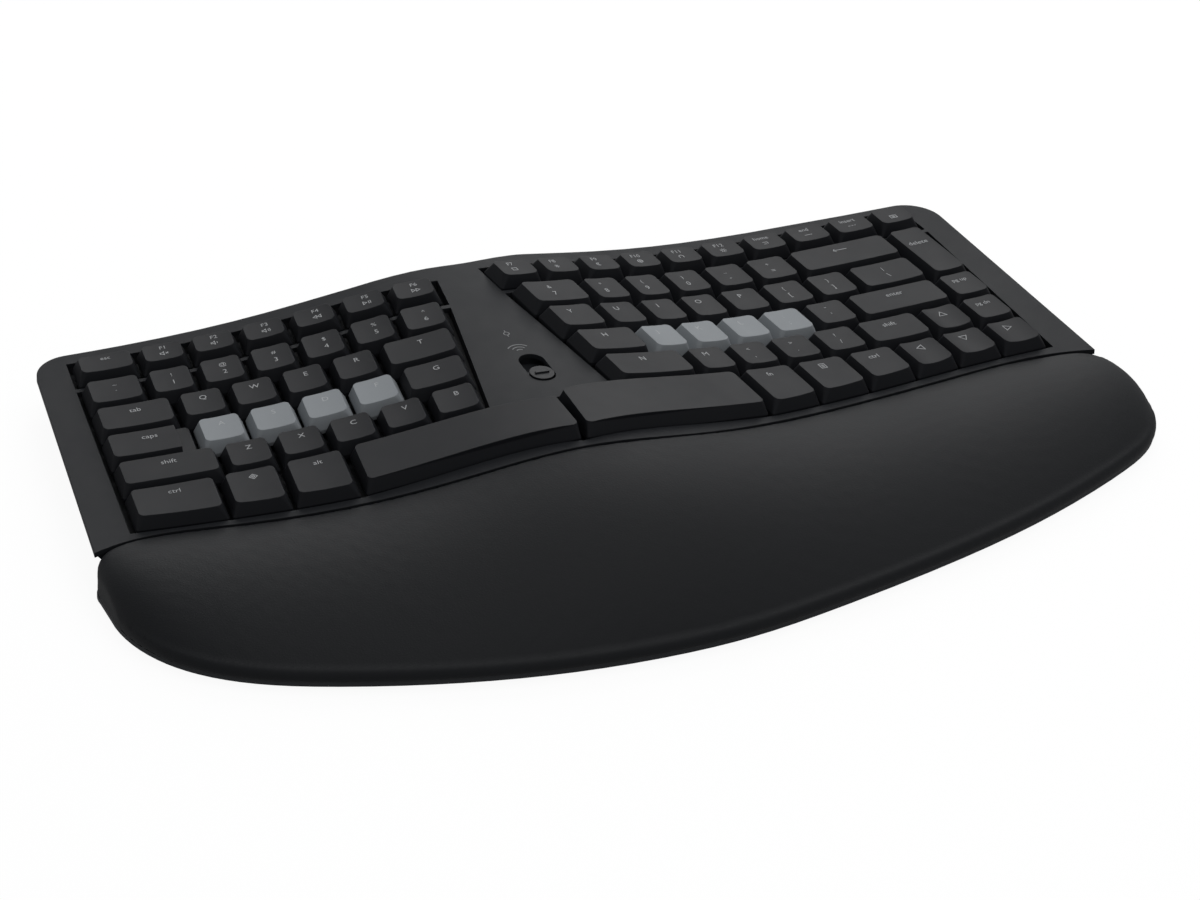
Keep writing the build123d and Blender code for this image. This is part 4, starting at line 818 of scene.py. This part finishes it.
class BuildStudio(bpy.types.Operator):
    """White floor, plain soft light and the camera"""

    bl_idname = "keyboard.build_studio"
    bl_label = "Build the studio"

    def execute(self, context):
        studio = context.scene.keyboard_studio
        self.lay_floor(studio.floor)
        self.light_world(context, studio.world)
        self.hang_lamp("key_light", *KEY_LAMP, studio.key_light)
        self.hang_lamp("fill_light", *FILL_LAMP, studio.fill_light)
        self.place_camera(context)
        context.scene.view_settings.view_transform = "Standard"
        return {"FINISHED"}

    def lay_floor(self, width):
        mesh = bmesh.new()
        bmesh.ops.create_grid(mesh, x_segments=8, y_segments=8, size=width / 2)
        data = bpy.data.meshes.new("floor")
        mesh.to_mesh(data)
        mesh.free()
        floor = bpy.data.objects.new("floor", data)
        bpy.context.scene.collection.objects.link(floor)
        finish = Finish("floor_paper", {"Roughness": 0.9, "Specular IOR Level": 0.0})
        tone = finish.noise(3.0)
        finish.surface("Base Color", finish.mix(tone, (0.5, 0.5, 0.5), (0.52, 0.52, 0.52)))
        glow = finish.node("ShaderNodeEmission", None,
                           {"Color": (1, 1, 1), "Strength": FLOOR_GLOW})
        seen = finish.node("ShaderNodeLightPath", None, None, "Is Camera Ray")
        seen = seen + finish.node("ShaderNodeLightPath", None, None, "Is Transmission Ray")
        seen = seen + finish.node("ShaderNodeLightPath", None, None, "Is Glossy Ray") * GLOSS_SHARE
        paper = Socket(finish, finish.shader.outputs["BSDF"])
        mixed = finish.node("ShaderNodeMixShader", None,
                            {0: seen * FLOOR_GLOW_SHARE, 1: paper, 2: glow})
        output = finish.tree.nodes["Material Output"]
        finish.feed(output.inputs["Surface"], mixed)
        dress(floor, finish)

    def light_world(self, context, strength):
        world = bpy.data.worlds.new("studio")
        world.use_nodes = True
        context.scene.world = world
        tree = world.node_tree
        tree.nodes.clear()
        light = tree.nodes.new("ShaderNodeBackground")
        light.inputs["Color"].default_value = (0.97, 0.985, 1, 1)
        light.inputs["Strength"].default_value = strength
        white = tree.nodes.new("ShaderNodeBackground")
        white.inputs["Strength"].default_value = 1.0
        white.inputs["Color"].default_value = (1, 1, 1, 1)
        rays = tree.nodes.new("ShaderNodeLightPath")
        gloss = tree.nodes.new("ShaderNodeMath")
        gloss.operation = "MULTIPLY_ADD"
        gloss.inputs[1].default_value = GLOSS_SHARE
        seen = tree.nodes.new("ShaderNodeMath")
        seen.operation = "ADD"
        mix = tree.nodes.new("ShaderNodeMixShader")
        output = tree.nodes.new("ShaderNodeOutputWorld")
        tree.links.new(rays.outputs["Is Glossy Ray"], gloss.inputs[0])
        tree.links.new(rays.outputs["Is Camera Ray"], gloss.inputs[2])
        tree.links.new(gloss.outputs[0], seen.inputs[0])
        tree.links.new(rays.outputs["Is Transmission Ray"], seen.inputs[1])
        tree.links.new(seen.outputs[0], mix.inputs[0])
        tree.links.new(light.outputs[0], mix.inputs[1])
        tree.links.new(white.outputs[0], mix.inputs[2])
        tree.links.new(mix.outputs[0], output.inputs["Surface"])

    def hang_lamp(self, name, place, width, power):
        lamp = bpy.data.lights.new(name, "AREA")
        lamp.shape = "DISK"
        lamp.size = width
        lamp.energy = power
        holder = bpy.data.objects.new(name, lamp)
        holder.location = place
        holder.rotation_mode = "QUATERNION"
        holder.rotation_quaternion = (-Vector(place)).to_track_quat("-Z", "Y")
        bpy.context.scene.collection.objects.link(holder)

    def place_camera(self, context):
        """Camera at its place, turned by yaw, pitch and roll."""
        yaw, pitch, roll = (math.radians(turn) for turn in CAMERA_TURNS)
        ahead = Vector((math.sin(yaw) * math.cos(pitch), math.cos(yaw) * math.cos(pitch),
                        -math.sin(pitch)))
        level = Vector((math.cos(yaw), -math.sin(yaw), 0))
        upright = level.cross(ahead)
        right = level * math.cos(roll) + upright * math.sin(roll)
        up = upright * math.cos(roll) - level * math.sin(roll)
        data = bpy.data.cameras.new("camera")
        data.sensor_width = CAMERA_SENSOR
        data.lens = CAMERA_FOCAL_SHARE * data.sensor_width
        data.clip_start, data.clip_end = CAMERA_CLIPS
        camera = bpy.data.objects.new("camera", data)
        matrix = Matrix((right, up, -ahead)).transposed().to_4x4()
        matrix.translation = CAMERA_PLACE
        camera.matrix_world = matrix
        context.scene.collection.objects.link(camera)
        context.scene.camera = camera


class KEYBOARD_PT_pieces(bpy.types.Panel):
    """Pieces of the keyboard, with their sizes and colours"""

    bl_label = "Split keyboard"
    bl_space_type = "VIEW_3D"
    bl_region_type = "UI"
    bl_category = "Keyboard"

    def draw(self, context):
        for maker in MAKERS:
            self.layout.operator(maker.bl_idname)
        for group in GROUPS:
            values = getattr(context.scene, group)
            for name in GROUPS[group].__annotations__:
                self.layout.prop(values, name)


MAKERS = [FinishShells, FinishKeys, FinishInside, PadPalm, PrintKeys, PrintPanel, BuildStudio]
GROUPS = {"keyboard_print": PrintSizes, "keyboard_colours": Colours,
          "keyboard_pad": PadSizes, "keyboard_studio": Studio}


def register():
    for kind in [*GROUPS.values(), *MAKERS, KEYBOARD_PT_pieces]:
        bpy.utils.register_class(kind)
    for name, group in GROUPS.items():
        setattr(bpy.types.Scene, name, bpy.props.PointerProperty(type=group))


def unregister():
    for name in GROUPS:
        delattr(bpy.types.Scene, name)
    for kind in [KEYBOARD_PT_pieces, *reversed(MAKERS), *GROUPS.values()]:
        bpy.utils.unregister_class(kind)


def main():
    register()
    for maker in MAKERS:
        family, name = maker.bl_idname.split(".")
        getattr(getattr(bpy.ops, family), name)()


if __name__ == "__main__":
    main()
